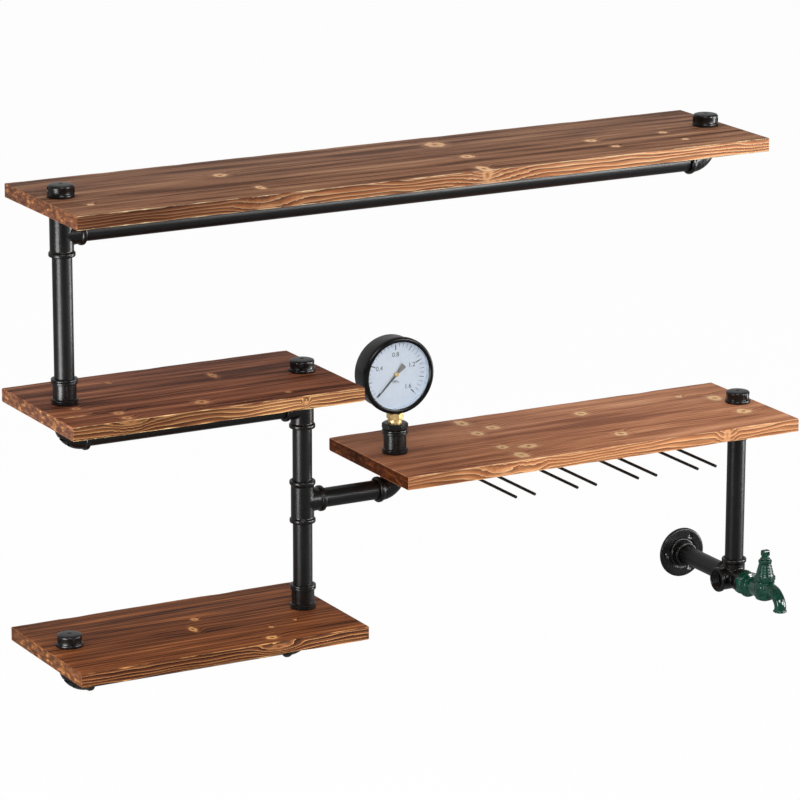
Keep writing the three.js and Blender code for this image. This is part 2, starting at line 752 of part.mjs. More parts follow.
function tapBonnet() {
  const hexTop = bonnetHexHeight;
  const lowTop = hexTop + bonnetStepHeight;
  const midTop = lowTop + bonnetStepHeight;
  const outside = join([
    rod(tapChamberRadius - seatGap, -bonnetShankLength, overrun),
    hex(bonnetHexAcross, bonnetHexHeight),
    turned([
      [0, hexTop], [bonnetLowRadius, hexTop], [bonnetMidRadius, lowTop],
      [bonnetHighRadius, lowTop], [bonnetHighRadius, midTop], [0, midTop],
    ]),
  ]);
  return cut(outside, [rod(boreAround(spindleRadius), -bonnetShankLength - overrun, midTop + overrun)]);
}

function tapPackingNut() {
  const nut = hex(packingNutAcross, packingNutHeight);
  return cut(nut, [rod(boreAround(spindleRadius), -overrun, packingNutHeight + overrun)]);
}

function tapSpindle(length) {
  const bore = boreAround(tapValvePinRadius, seatGap, thinFacets);
  const pinBore = rod(bore, -overrun, tapValvePinLength + overrun, up, undefined, thinFacets);
  return cut(rod(spindleRadius, 0, length), [pinBore]);
}

function tapValve() {
  return join([
    rod(tapValveRadius, 0, tapValveHeight, up, undefined, boreFacets),
    rod(tapValvePinRadius, 0, tapValveHeight + tapValvePinLength, up, undefined, thinFacets),
  ]);
}

function tapHandle() {
  const neckTop = handleHubHeight + handleNeckHeight;
  const barZ = neckTop + handleBarHeight / 2 - overrun;
  const loopZ = barZ + handleLoopRadius / 2;
  const loopStart = new THREE.Vector3(handleBarLength / 2, handleBarThickness / 4, loopZ);
  const outside = join([
    turned([
      [0, 0], [handleHubRadius, 0], [handleHubRadius, handleHubHeight / 2],
      [handleNeckRadius, handleHubHeight], [handleNeckRadius, neckTop], [0, neckTop],
    ]),
    block(handleBarLength, handleBarThickness, handleBarHeight, 0, 0, barZ),
    rod(handleLoopRadius, 0, handleBarThickness / 2, front, loopStart, boreFacets),
  ]);
  const loopHole = rod(handleLoopHoleRadius, -overrun, handleBarThickness, front, loopStart, thinFacets);
  return cut(outside, [loopHole, rod(boreAround(spindleRadius), -overrun, handleGrip)]);
}

function addTap() {
  const bossY = tapFaceY - tapBossFromFace;
  const bonnetZ = tapBossTop + seatGap;
  const nutZ = bonnetZ + bonnetHexHeight + 2 * bonnetStepHeight + seatGap;
  const handleZ = nutZ + packingNutHeight + seatGap;
  const valveZ = tapChamberFloor + seatGap;
  const spindleZ = valveZ + tapValveHeight + seatGap;
  const spindleLength = handleZ + handleGrip - seatGap - spindleZ;
  add('tap_body', tapBody(), green, 0, tapFaceY, wallPipeZ);
  add('tap_bonnet', tapBonnet(), green, 0, bossY, wallPipeZ + bonnetZ);
  add('tap_packing_nut', tapPackingNut(), green, 0, bossY, wallPipeZ + nutZ);
  add('tap_handle', tapHandle(), green, 0, bossY, wallPipeZ + handleZ);
  add('tap_spindle', tapSpindle(spindleLength), steel, 0, bossY, wallPipeZ + spindleZ);
  add('tap_valve', tapValve(), brass, 0, bossY, wallPipeZ + valveZ);
}

// Rails, each a screwed plate with two bent rods, made round the plate's underside

function stemRail() {
  const rodZ = railPlateThickness - railDrop;
  const reach = boardDepth - railBackSetIn;
  const rods = [-railRodSpacing / 2, railRodSpacing / 2].flatMap((x) => {
    const corner = new THREE.Vector3(x, 0, rodZ);
    return [
      quarterBend(railRodRadius, railBend, up, front, thinFacets, corner),
      rod(railRodRadius, railBend, railDrop - railPlateThickness / 2, up, corner, thinFacets),
      rod(railRodRadius, railBend, reach, front, corner, thinFacets),
    ];
  });
  const plate = block(railPlateLength, railPlateWidth, railPlateThickness, 0, 0, railPlateThickness / 2);
  const screws = [-1, 1].map((side) => {
    const start = new THREE.Vector3(0, (side * railPlateWidth * screwShare) / 2, 0);
    return rod(railScrewRadius, -overrun, railPlateThickness + overrun, up, start, thinFacets);
  });
  return cut(join([plate, ...rods]), screws);
}

function addRails() {
  const y = pipeY - boardFrontToPipes + boardDepth - railBackSetIn;
  const z = rightShelfZ - boardThickness - seatGap - railPlateThickness;
  for (let i = 0; i < railCount; i += 1) {
    add(`stem_rail_${i + 1}`, stemRail(), iron, gaugeX + railFromGauge + i * railPitch, y, z);
  }
}

board('board_top', leftX, topRightX, topLeftInset, topRightInset, topZ);
board('board_left_shelf', leftX, middleX, leftShelfLeftInset, leftShelfRightInset, leftShelfZ);
board('board_right_shelf', gaugeX, 0, rightShelfLeftInset, rightShelfRightInset, rightShelfZ);
board('board_bottom_shelf', leftX, middleX, bottomLeftInset, bottomRightInset, bottomZ);
addPipework();
addGauge();
addTap();
addRails();

export default group;
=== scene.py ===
import math
import bpy
from mathutils import Matrix, Vector


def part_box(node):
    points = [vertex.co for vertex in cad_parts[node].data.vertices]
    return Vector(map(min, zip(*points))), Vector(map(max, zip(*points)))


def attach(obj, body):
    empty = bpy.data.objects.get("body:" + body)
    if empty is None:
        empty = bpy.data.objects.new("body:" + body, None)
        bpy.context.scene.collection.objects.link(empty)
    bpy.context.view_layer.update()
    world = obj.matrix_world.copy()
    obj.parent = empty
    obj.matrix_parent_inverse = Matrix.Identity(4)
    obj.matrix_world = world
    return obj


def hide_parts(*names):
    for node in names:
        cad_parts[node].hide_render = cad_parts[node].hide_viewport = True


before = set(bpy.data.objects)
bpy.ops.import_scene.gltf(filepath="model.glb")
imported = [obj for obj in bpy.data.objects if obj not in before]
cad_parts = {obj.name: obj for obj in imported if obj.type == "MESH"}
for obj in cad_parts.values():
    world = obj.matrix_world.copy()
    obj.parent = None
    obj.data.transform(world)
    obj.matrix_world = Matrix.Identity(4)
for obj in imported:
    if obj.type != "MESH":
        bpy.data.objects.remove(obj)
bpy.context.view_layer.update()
print("frame loaded with", len(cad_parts), "nodes")

mm = 0.001
overrun = 1  # how far a cutting tool stands past what it cuts, in mm


def boxOf(node):
    low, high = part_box(node)
    return low / mm, high / mm


def middleOf(node):
    low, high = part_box(node)
    return (low + high) / 2 / mm


# Columns and runs of pipe, in millimetres, as the frame has them
leftX = middleOf("pipe_left_column").x
middleX = middleOf("pipe_middle_column_upper").x
gaugeX = middleOf("coupling_gauge").x
topRightX = middleOf("cap_top_right").x
rightX = middleOf("pipe_right_column").x
pipeY = middleOf("pipe_top").y
topRun = middleOf("pipe_top").z
leftRun = middleOf("pipe_left_shelf").z
branchRun = middleOf("pipe_branch").z
bottomRun = middleOf("pipe_bottom").z
wallRun = middleOf("pipe_wall").z
gaugeZ = middleOf("gauge_dial").z


# Selecting and shaping

def deselectAll():
    if bpy.context.mode != "OBJECT":
        bpy.ops.object.mode_set(mode="OBJECT")
    bpy.ops.object.select_all(action="DESELECT")


def activate(*pieces):
    deselectAll()
    for piece in pieces:
        piece.select_set(True)
    bpy.context.view_layer.objects.active = pieces[0]


def nameNew(name):
    piece = bpy.context.object
    piece.name = piece.data.name = name
    return piece


def startEditing(name):
    # the primitive just added, its place put in its mesh and all of it selected
    piece = nameNew(name)
    bpy.ops.object.transform_apply(location=True, rotation=True, scale=True)
    bpy.ops.object.mode_set(mode="EDIT")
    bpy.ops.mesh.select_all(action="SELECT")
    return piece


def closeShape():
    bpy.ops.mesh.select_all(action="SELECT")
    bpy.ops.mesh.remove_doubles(threshold=0.01 * mm)
    bpy.ops.mesh.normals_make_consistent(inside=False)
    bpy.ops.object.mode_set(mode="OBJECT")


def turnedShape(name, profile, sides=48, ring=False):
    # a circle drawn up ring by ring through (radius, height) pairs in mm;
    # a ring's profile ends where it starts
    deselectAll()
    radius, height = profile[0]
    bpy.ops.mesh.primitive_circle_add(vertices=sides, radius=radius * mm,
                                      location=(0, 0, height * mm),
                                      fill_type="NOTHING" if ring else "NGON")
    piece = startEditing(name)
    for nextRadius, nextHeight in profile[1:]:
        rise = (0, 0, (nextHeight - height) * mm)
        bpy.ops.mesh.extrude_region_move(TRANSFORM_OT_translate={"value": rise})
        grow = nextRadius / radius
        bpy.ops.transform.resize(value=(grow, grow, 1), center_override=(0, 0, nextHeight * mm))
        radius, height = nextRadius, nextHeight
    closeShape()
    return piece


def cylinder(name, radius, low, high, sides=48, eased=0):
    profile = [(radius, low), (radius, high)]
    if eased:
        profile = [(radius - eased, low), (radius, low + eased),
                   (radius, high - eased), (radius - eased, high)]
    return turnedShape(name, profile, sides)


def bentRod(name, points, radius, radii=None, smooth=True, roundness=8):
    # a curve with a round section through points in mm, made a mesh
    deselectAll()
    bpy.ops.curve.primitive_bezier_curve_add()
    curve = bpy.context.object.data
    spline = curve.splines[0]
    spline.bezier_points.add(len(points) - 2)
    for index, (knot, place) in enumerate(zip(spline.bezier_points, points)):
        knot.co = Vector(place) * mm
        knot.handle_left_type = knot.handle_right_type = "AUTO" if smooth else "VECTOR"
        knot.radius = radii[index] if radii else 1
    curve.dimensions = "3D"
    curve.resolution_u = 10 if smooth else 1
    curve.bevel_depth = radius * mm
    curve.bevel_resolution = roundness
    curve.use_fill_caps = True
    bpy.ops.object.convert(target="MESH")
    piece = startEditing(name)
    closeShape()
    return piece


def quarterBend(name, radius, bend, sides=40, steps=14):
    # a filled bend from straight up to straight right round (bend, 0, bend)
    deselectAll()
    bpy.ops.mesh.primitive_circle_add(vertices=sides, radius=radius * mm,
                                      location=(0, 0, bend * mm))
    piece = startEditing(name)
    bpy.ops.mesh.spin(steps=steps, angle=math.pi / 2, center=(bend * mm, 0, bend * mm),
                      axis=(0, 1, 0))
    bpy.ops.mesh.select_all(action="SELECT")
    bpy.ops.mesh.fill_holes(sides=0)
    closeShape()
    return piece


def blockShape(name, size, at, round):
    # a block with eased edges, sizes in mm
    deselectAll()
    bpy.ops.mesh.primitive_cube_add(size=1, location=Vector(at) * mm, scale=Vector(size) * mm)
    piece = startEditing(name)
    bpy.ops.mesh.bevel(offset=round * mm, segments=2, affect="EDGES")
    closeShape()
    return piece


def settle(piece, at=(0, 0, 0), turn=(0, 0, 0)):
    # turned in degrees and then put in place in mm, in the mesh itself
    activate(piece)
    piece.rotation_euler = [math.radians(angle) for angle in turn]
    piece.location = Vector(at) * mm
    bpy.ops.object.transform_apply(location=True, rotation=True, scale=True)
    return piece


def copyOf(master, name):
    piece = master.copy()
    piece.data = master.data.copy()
    bpy.context.collection.objects.link(piece)
    piece.name = piece.data.name = name
    return piece


def joined(name, pieces):
    activate(*pieces)
    bpy.ops.object.join()
    return nameNew(name)


def applyModifiers(piece):
    activate(piece)
    for modifier in list(piece.modifiers):
        bpy.ops.object.modifier_apply(modifier=modifier.name)


def combine(piece, tool, operation="DIFFERENCE"):
    cut = piece.modifiers.new("cut", "BOOLEAN")
    cut.operation = operation
    cut.solver = "EXACT"
    cut.object = tool
    applyModifiers(piece)
    bpy.data.objects.remove(tool)
    return piece


def bored(piece, radius, low, high):
    return combine(piece, cylinder("bore", radius, low, high))


def castSkin(piece, grain, softening):
    # melts overlapping shapes into one skin with the soft inner corners of a casting
    skin = piece.modifiers.new("skin", "REMESH")
    skin.mode = "VOXEL"
    skin.voxel_size = grain * mm
    soften = piece.modifiers.new("soften", "SMOOTH")
    soften.factor = 0.5
    soften.iterations = softening
    applyModifiers(piece)
    return piece


def dress(piece, nodes, body, slot, *finishes, angle=32):
    activate(piece)
    bpy.ops.object.shade_smooth_by_angle(angle=math.radians(angle))
    for finish in finishes:
        piece.data.materials.append(finish)
    if nodes:
        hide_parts(*nodes)
    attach(piece, body)


# Materials

def hexColour(code):
    def linear(level):
        return level / 12.92 if level <= 0.04045 else ((level + 0.055) / 1.055) ** 2.4
    return tuple(linear(int(code[i:i + 2], 16) / 255) for i in (1, 3, 5)) + (1.0,)


def addNode(tree, kind, links=(), out=0, **settings):
    # adds a node; links holds sockets to join and plain values to set, by name or in the order of
    # the node's inputs, and "stops" fills a colour ramp
    node = tree.nodes.new("ShaderNode" + kind)
    for name, value in settings.items():
        if name == "stops":
            points = node.color_ramp.elements
            for place, code in value[2:]:
                points.new(place)
            for point, (place, code) in zip(points, value):
                point.position, point.color = place, hexColour(code)
        else:
            setattr(node, name, value)
    for name, value in links.items() if isinstance(links, dict) else enumerate(links):
        if isinstance(value, bpy.types.NodeSocket):
            tree.links.new(value, node.inputs[name])
        else:
            node.inputs[name].default_value = value
    return node.outputs[out]


def startFinish(name, settings=None):
    finish = bpy.data.materials.new(name)
    finish.use_nodes = True
    surface = finish.node_tree.nodes["Principled BSDF"]
    for socket, value in (settings or {}).items():
        surface.inputs[socket].default_value = value
    return finish, finish.node_tree


def coverSurface(finish, colour, gloss, height, strength, relief):
    # joins the patterns to the surface: its colour, its gloss and a relief in mm
    tree = finish.node_tree
    bump = addNode(tree, "Bump", {"Height": height, "Strength": strength, "Distance": relief * mm})
    for socket, pattern in (("Base Color", colour), ("Roughness", gloss), ("Normal", bump)):
        tree.links.new(pattern, tree.nodes["Principled BSDF"].inputs[socket])
    return finish


# Black malleable iron under a thin baked paint: satin, with the pebbled skin of a sand casting
def castIronFinish():
    look = dict(deep="#060505", worn="#0f0d0d", sand=1.7, swell=7.0, gloss=(0.24, 0.36),
                relief=0.03)
    finish, tree = startFinish("castIronBlackPaint", {"Specular IOR Level": 0.38})
    place = addNode(tree, "TexCoord", out="Object")
    sand = addNode(tree, "TexNoise", {"Vector": place, "Scale": 1 / (look["sand"] * mm),
                                      "Detail": 3.0, "Roughness": 0.6})
    swell = addNode(tree, "TexNoise", {"Vector": place, "Scale": 1 / (look["swell"] * mm)})
    colour = addNode(tree, "ValToRGB", [swell], stops=[(0.35, look["deep"]), (0.75, look["worn"])])
    gloss = addNode(tree, "MapRange", [sand, 0.3, 0.7, *look["gloss"]])
    height = addNode(tree, "Math", [sand, swell], operation="ADD")
    return coverSurface(finish, colour, gloss, height, 0.3, look["relief"])


# Drawn steel pipe under black lacquer: an even satin sheen with faint lines along the pipe
def pipeFinish(name, along):
    look = dict(
        deep="#060606", worn="#0d0c0d", line=0.7, lineLength=60.0, cloud=22, gloss=(0.3, 0.4),
        relief=0.03)
    finish, tree = startFinish(name, {"Specular IOR Level": 0.36})
    place = addNode(tree, "TexCoord", out="Object")
    stretch = [1 / (look["line"] * mm)] * 3
    stretch[along] = 1 / (look["lineLength"] * mm)
    drawn = addNode(tree, "Mapping", {"Vector": place, "Scale": stretch})
    lines = addNode(tree, "TexNoise", {"Vector": drawn, "Scale": 1.0, "Detail": 3.0,
                                       "Roughness": 0.6})
    cloud = addNode(tree, "TexNoise", {"Vector": place, "Scale": 1 / (look["cloud"] * mm)})
    colour = addNode(tree, "ValToRGB", [cloud], stops=[(0.35, look["deep"]), (0.7, look["worn"])])
    gloss = addNode(tree, "MapRange", [lines, 0.3, 0.7, *look["gloss"]])
    return coverSurface(finish, colour, gloss, lines, 0.3, look["relief"])


# Paint, enamel, powder or bare metal with a fine unevenness: two colours that it drifts between,
# gloss range, size of the unevenness and its relief in mm
def coatedFinish(name, low, high, gloss, grain, relief, settings=None):
    finish, tree = startFinish(name, settings)
    place = addNode(tree, "TexCoord", out="Object")
    ripple = addNode(tree, "TexNoise", {"Vector": place, "Scale": 1 / (grain * mm), "Detail": 3.0,
                                        "Roughness": 0.55})
    colour = addNode(tree, "ValToRGB", [ripple], stops=[(0.3, low), (0.7, high)])
    shine = addNode(tree, "MapRange", [ripple, 0.3, 0.7, *gloss])
    return coverSurface(finish, colour, shine, ripple, 0.4, relief)


# Clear float glass: see-through, with the reflection that grows towards its edge
def glassFinish():
    finish, tree = startFinish("clearGlass")
    clear = addNode(tree, "BsdfTransparent")
    gloss = addNode(tree, "BsdfGlossy", {"Color": hexColour("#ffffff"), "Roughness": 0.02})
    edge = addNode(tree, "Fresnel", {"IOR": 1.45})
    mixed = addNode(tree, "MixShader", [edge, clear, gloss])
    tree.links.new(mixed, tree.nodes["Material Output"].inputs["Surface"])
    tree.nodes.remove(tree.nodes["Principled BSDF"])
    return finish


def runLevel(level):
    # a lower level makes the board darker and also redder
    return "#" + "".join(f"{round(255 * level ** power):02x}" for power in (1, 1.15, 1.25))


# Stained and brushed pine under a dull clear coat. Growth rings run along the board and bend round
# the knots; softer wood took more stain, and the brushed ridges catch the light
def pineFinish(name, look):
    finish, tree = startFinish(name, {"Specular IOR Level": look["sheen"]})
    place = addNode(tree, "TexCoord", out="Object")
    fromCorner = addNode(tree, "Mapping", {"Vector": place, "Location": look["corner"],
                                           "Scale": (mm, mm, mm)}, vector_type="TEXTURE")
    axes = addNode(tree, "SeparateXYZ", [fromCorner]).node.outputs
    along, across = axes[look["along"]], axes[look["across"]]
    flat = addNode(tree, "CombineXYZ", [along, across])

    # how far off the nearest knot is, in its own sizes, with a ragged outline
    nearest = 9.0  # out of any knot's reach
    for x, y, wide, deep in look["knots"]:
        knot = addNode(tree, "Mapping", {"Vector": flat, "Location": (x, y, 0),
                                         "Scale": (wide, deep, 1)}, vector_type="TEXTURE")
        reach = addNode(tree, "VectorMath", [knot], out="Value", operation="LENGTH")
        nearest = addNode(tree, "Math", [reach, nearest], operation="MINIMUM")
    wobble = addNode(tree, "TexNoise", {"Vector": flat, "Scale": 0.16, "Detail": 4.0})
    ragged = addNode(tree, "MapRange", [wobble, 0, 1, -0.7, 0.7])
    nearest = addNode(tree, "Math", [nearest, ragged], operation="ADD")

    # patterns drawn out along the board: length and width in mm, detail, roughness, and whether the
    # board's seed shifts them; the wave of the arrises runs straight across
    shift = [look["seed"] * share for share in (3.7, 1.9, 1)]
    drawn = {
        "drift": (look["driftLength"], look["driftWidth"], 2.5, 0.45, True),
        "streak": (look["streakLength"], look["streakWidth"], 4.0, 0.56, True),
        "thread": (160, look["thread"], 2.0, 0.5, True),
        "wave": (34, 1000, 3.0, 0.5, True),
        "fibre": (38, 0.8, 3.0, 0.6, False),
    }
    pattern = {}
    for kind, (long, wide, detail, roughness, shifted) in drawn.items():
        start = shift if shifted else (0, 0, 0)
        stretched = addNode(tree, "Mapping", {"Vector": flat, "Location": start,
                                              "Scale": (1 / long, 1 / wide, 1)})
        pattern[kind] = addNode(tree, "TexNoise", {"Vector": stretched, "Scale": 1.0,
                                                   "Detail": detail, "Roughness": roughness})

    # growth rings, which drift and give way to knots; at the board's end they run round the pith
    ringPlace = across
    if "pith" in look:
        fromPith = addNode(tree, "Mapping", {"Vector": flat, "Location": (*look["pith"], 0)},
                           vector_type="TEXTURE")
        ringPlace = addNode(tree, "VectorMath", [fromPith], out="Value", operation="LENGTH")
    drifted = addNode(tree, "MapRange", [pattern["drift"], 0, 1, -look["drift"], look["drift"]])
    pull = addNode(tree, "MapRange", [nearest, 0.6, 5.0, look["pull"], 0.0],
                   interpolation_type="SMOOTHERSTEP")
    bent = addNode(tree, "Math", [drifted, pull], operation="ADD")
    ringPlace = addNode(tree, "Math", [ringPlace, bent], operation="ADD")
    rings = addNode(tree, "Math", [ringPlace, 1 / look["ring"]], operation="MULTIPLY")
    phase = addNode(tree, "Math", [rings], operation="FRACT")

    dark, mid, light, bright = look["tones"]
    stain = addNode(tree, "ValToRGB", [pattern["streak"]],
                    stops=[(0.39, dark), (0.49, mid), (0.58, light), (0.68, bright)])
    ringTone = addNode(tree, "ValToRGB", [phase],
                       stops=[(0.0, bright), (0.12, light), (0.36, mid), (0.86, dark)])
    fibre = addNode(tree, "MapRange", [pattern["fibre"], 0.3, 0.7, 1 - look["fibre"],
                                       1 + look["fibre"]])
    thread = addNode(tree, "MapRange", [pattern["thread"], 0.53, 0.66, 1.0,
                                        1 - look["threadDepth"]])
    knotTone = addNode(tree, "ValToRGB", [nearest],
                       stops=list(zip((0.05, 0.28, 0.6), look["knotTones"])))
    if "run" in look:
        share = addNode(tree, "MapRange", [along, 0, look["long"]])
        tint = addNode(tree, "ValToRGB", [share], stops=[
            (0.1 + 0.2 * step, runLevel(level)) for step, level in enumerate(look["run"])])
    else:
        tint = hexColour(look["tint"])

    # how much of the rings, of a knot's pale rim and of its heart shows
    ringShare = addNode(tree, "MapRange", [nearest, 1.0, 3.4, look["flame"], look["ringShare"]])
    rim = addNode(tree, "MapRange", [nearest, 0.9, 2.3, look["rim"], 0.0])
    heart = addNode(tree, "MapRange", [nearest, 1.0, 1.35, look["heart"], 0.0],
                    interpolation_type="SMOOTHSTEP")
    # the barest tone: a knot's pale rim, and the worn arrises with their painted highlight
    bare = hexColour(bright)
    layers = [(ringShare, ringTone, "MIX"), (1.0, fibre, "MULTIPLY"), (1.0, thread, "MULTIPLY"),
              (rim, bare, "MIX"), (heart, knotTone, "MIX"), (1.0, tint, "MULTIPLY")]

    # the two arrises, where brushing took the stain off in a wavering line, and where a painted
    # highlight brightens them as if they caught the light
    wornWidth = look["wornWidth"]
    worn = addNode(tree, "MapRange", [pattern["wave"], 0.3, 0.7, -wornWidth * 0.5, wornWidth])
    for arris, side in ((0, 1), (look["width"], -1)):
        inward = addNode(tree, "Math", [side, across], operation="MULTIPLY")
        inward = addNode(tree, "Math", [inward, -side * arris], operation="ADD")
        inward = addNode(tree, "Math", [inward, worn], operation="SUBTRACT")
        share = addNode(tree, "MapRange", [inward, -0.3, 0.7, look["wornShare"], 0.0])
        layers.append((share, bare, "MIX"))

    colour = stain
    for share, layer, blend in layers:
        colour = addNode(tree, "Mix", {0: share, 6: colour, 7: layer}, out=2, data_type="RGBA",
                         blend_type=blend)
    gloss = addNode(tree, "MapRange", [phase, 0, 1, *look["gloss"]])
    ridge = addNode(tree, "Math", [phase, pattern["fibre"]], operation="ADD")
    return coverSurface(finish, colour, gloss, ridge, 0.35, look["relief"])


castIron = castIronFinish()
pipeSteel = [pipeFinish("drawnPipeBlackLacquer" + letter, axis)
             for axis, letter in enumerate("XYZ")]
# Round steel wire under black powder coat: duller than the pipes, with no lines in it
railSteel = coatedFinish("railWireBlackPowder", "#060606", "#0d0d0d", (0.4, 0.5), 2, 0.01,
                         {"Specular IOR Level": 0.2})
# Pressed steel under black stove enamel: smoother and glossier than the castings
caseEnamel = coatedFinish("pressedSteelBlackEnamel", "#080707", "#100f0f", (0.2, 0.28), 14, 0.05,
                          {"Specular IOR Level": 0.17})
# Matt white paint with a cool cast
dialPaint = coatedFinish("dialWhitePaint", "#e1ebf7", "#e8f1fc", (0.5, 0.6), 6, 0.005)
# Printed ink: a matt blue-black, a little lighter where it lies thin
dialInk = coatedFinish("dialPrintedInk", "#20242c", "#343a45", (0.5, 0.6), 2, 0.002)
# Dark grey paint on a thin pressed blade: satin, so that it greys in the light
pointerPaint = coatedFinish("pointerDarkPaint", "#34363a", "#5b5d60", (0.35, 0.45), 3, 0.01)
# The same blade's tail under a warmer, paler grey paint
tailPaint = coatedFinish("pointerTailPaint", "#77746f", "#8f8c88", (0.4, 0.5), 3, 0.01)
clearGlass = glassFinish()
# Turned brass left bare: warm, with the fine unevenness of the tool
brass = coatedFinish("turnedBrass", "#e3bb78", "#f8dca2", (0.36, 0.48), 2.2, 0.03,
                     {"Metallic": 1.0})
# Plated steel: a grey metal with soft reflections
spindleSteel = coatedFinish("platedSteel", "#8d8e8c", "#a9aaa7", (0.25, 0.4), 2, 0.03,
                            {"Metallic": 1.0})
# Thick gloss enamel over a rough casting: deep green with wet-looking highlights
greenEnamel = coatedFinish("castingGreenEnamel", "#03281f", "#0a4535", (0.14, 0.22), 5, 0.07,
                           {"Specular IOR Level": 0.25, "Coat Weight": 0.65,
                            "Coat Roughness": 0.06})
print("finishes made")


# Boards

boardLook = dict(
    eased=1.0, cutStep=14, holeRadius=14.2, wear=1.6, wearLength=23, wearDrift=61, nicks=0.4,
    nickLength=9)

# each finish's own numbers, in mm where they are lengths; what differs from board to board is below
grainLook = dict(pull=7, relief=0.4, thread=2.6, threadDepth=0.16, gloss=(0.42, 0.58))
# the worn widths and shares size the pale arrises: worn wood under a painted highlight
faceLook = dict(
    along=0, across=1, driftLength=300, driftWidth=70, drift=22, ring=6.5, ringShare=0.34,
    flame=0.7, fibre=0.16, rim=0.4, heart=1.0, sheen=0.03, streakLength=280, wornWidth=1.6,
    wornShare=0.75)
edgeLook = dict(
    along=0, across=2, driftLength=170, driftWidth=30, drift=12, ring=4.8, ringShare=0.86,
    flame=0.9, fibre=0.18, rim=0.12, heart=0.7, sheen=0.06, streakLength=130, streakWidth=5,
    wornWidth=1.2, wornShare=0.85)
endLook = dict(
    along=1, across=2, driftLength=40, driftWidth=40, drift=2, ring=3.4, ringShare=0.15, flame=0.2,
    fibre=0.14, rim=0.4, heart=0.4, sheen=0.04, streakLength=14, streakWidth=6, wornWidth=1.0,
    wornShare=0.6, pith=(120, -70), knots=[(60, 8, 3, 3)],
    knotTones=("#3a241d", "#4a3029", "#5a3a2c"), tones=("#50342a", "#664332", "#7d533b", "#bd8654"))

# tones run from the darkest wood to the barest; runs are levels at a tenth, three tenths and so on
# of the length; knots are x, y, width and depth in mm from the front left corner
boardTones = {
    "board_top": {
        "top": ("#4c2e22", "#8e644c", "#ab7c5f", "#cfa07b"),
        "topKnot": ("#946a50", "#cf9c74", "#efbf93"),
        "edge": ("#7a4a34", "#d28a5a", "#fcc18e", "#ffeabc"),
        "endTint": "#faf5f2", "streakWidth": 17,
        "topRun": (0.94, 0.93, 0.94, 0.97, 1.0), "edgeRun": (0.44, 0.68, 0.75, 0.91, 1.0),
        "knots": [(623, 180, 12, 13), (623, 90, 8, 8), (603, 10, 7, 14), (827, 102, 7, 7),
                  (837, 53, 5, 5), (945, 103, 5, 5), (285, 45, 5, 9), (273, 140, 8, 8),
                  (948, 49, 4, 4), (45, 57, 4, 4), (75, -16, 50, 11)],
        "edgeKnots": [(273, -4, 15, 8), (603, 13, 7, 8), (612, -4, 22, 6)],
    },
    "board_left_shelf": {
        "top": ("#3c1f17", "#84503a", "#a2674b", "#ce8b62"),
        "topKnot": ("#70452e", "#a06c48", "#cf9668"),
        "edge": ("#553020", "#9f6843", "#d89c66", "#ffdb98"),
        "endTint": "#f8f8f8", "streakWidth": 13,
        "topRun": (0.97, 1.0, 1.0, 0.99, 0.95), "edgeRun": (0.69, 0.65, 0.74, 1.0, 0.95),
        "knots": [(203, 37, 8, 8), (277, 155, 4, 10), (137, 185, 3, 3), (43, 85, 5, 5),
                  (83, 39, 6, 6), (83, 12, 6, 6), (27, 49, 13, 3), (327, 29, 3, 3),
                  (190, -14, 60, 8)],
        "edgeKnots": [(83, 18, 9, 5), (339, 10, 2, 2)],
    },
    "board_right_shelf": {
        "top": ("#905a43", "#c88863", "#e7a47b", "#ffc297"),
        "topKnot": ("#b06a3c", "#e8a468", "#ffd8a6"),
        "edge": ("#86533a", "#cb8755", "#eba876", "#ffdaa2"),
        "endTint": "#ab8969", "streakWidth": 24,
        "topRun": (0.82, 0.88, 0.94, 1.0, 0.97), "edgeRun": (0.77, 0.94, 0.96, 1.0, 1.0),
        "knots": [(200, 206, 7, 12), (227, 166, 8, 8), (193, 149, 7, 9), (375, 171, 8, 8),
                  (548, 183, 4, 4), (590, 152, 8, 11), (587, 72, 9, 9), (188, 71, 7, 7),
                  (223, 59, 11, 8), (191, 24, 8, 11), (369, 52, 8, 8), (230, -16, 70, 11)],
        "edgeKnots": [(150, -3, 13, 7), (513, 10, 5, 8), (190, -3, 9, 7)],
    },
    "board_bottom_shelf": {
        "top": ("#351c11", "#7e4a2d", "#9b5e39", "#cc834d"),
        "topKnot": ("#744628", "#b07a48", "#e6aa6c"),
        "edge": ("#2c150c", "#6b3e27", "#9e6540", "#f5b872"),
        "endTint": "#e2dac6", "streakWidth": 10,
        "topRun": (0.9, 0.94, 0.95, 0.97, 1.0), "edgeRun": (0.8, 0.78, 0.78, 1.0, 1.0),
        "knots": [(212, 103, 4, 9), (233, 141, 4, 5), (310, 61, 3, 3), (353, 74, 2, 2),
                  (290, 20, 7, 6), (50, -16, 45, 11)],
        "edgeKnots": [(290, 12, 10, 3)],
    },
}


def wornEdges(piece, low, high, seed):
    # widens the eased long edges by a slow wave, as brushing leaves them
    eased = boardLook["eased"] * mm * 1.05
    for vertex in piece.data.vertices:
        place = vertex.co
        fromFront, fromBack = place.y - low.y, high.y - place.y
        fromTop, fromUnder = high.z - place.z, place.z - low.z
        if min(fromFront, fromBack) > eased or min(fromTop, fromUnder) > eased:
            continue
        along = place.x / mm
        wave = math.sin(along / boardLook["wearLength"] + seed)
        wave *= math.sin(along / boardLook["wearDrift"] + 2 * seed)
        wave += boardLook["nicks"] * math.sin(along / boardLook["nickLength"])
        more = boardLook["wear"] * max(0.0, wave)
        place.y += (fromFront if fromFront < fromBack else -fromBack) * more
        place.z += (-fromTop if fromTop < fromUnder else fromUnder) * more


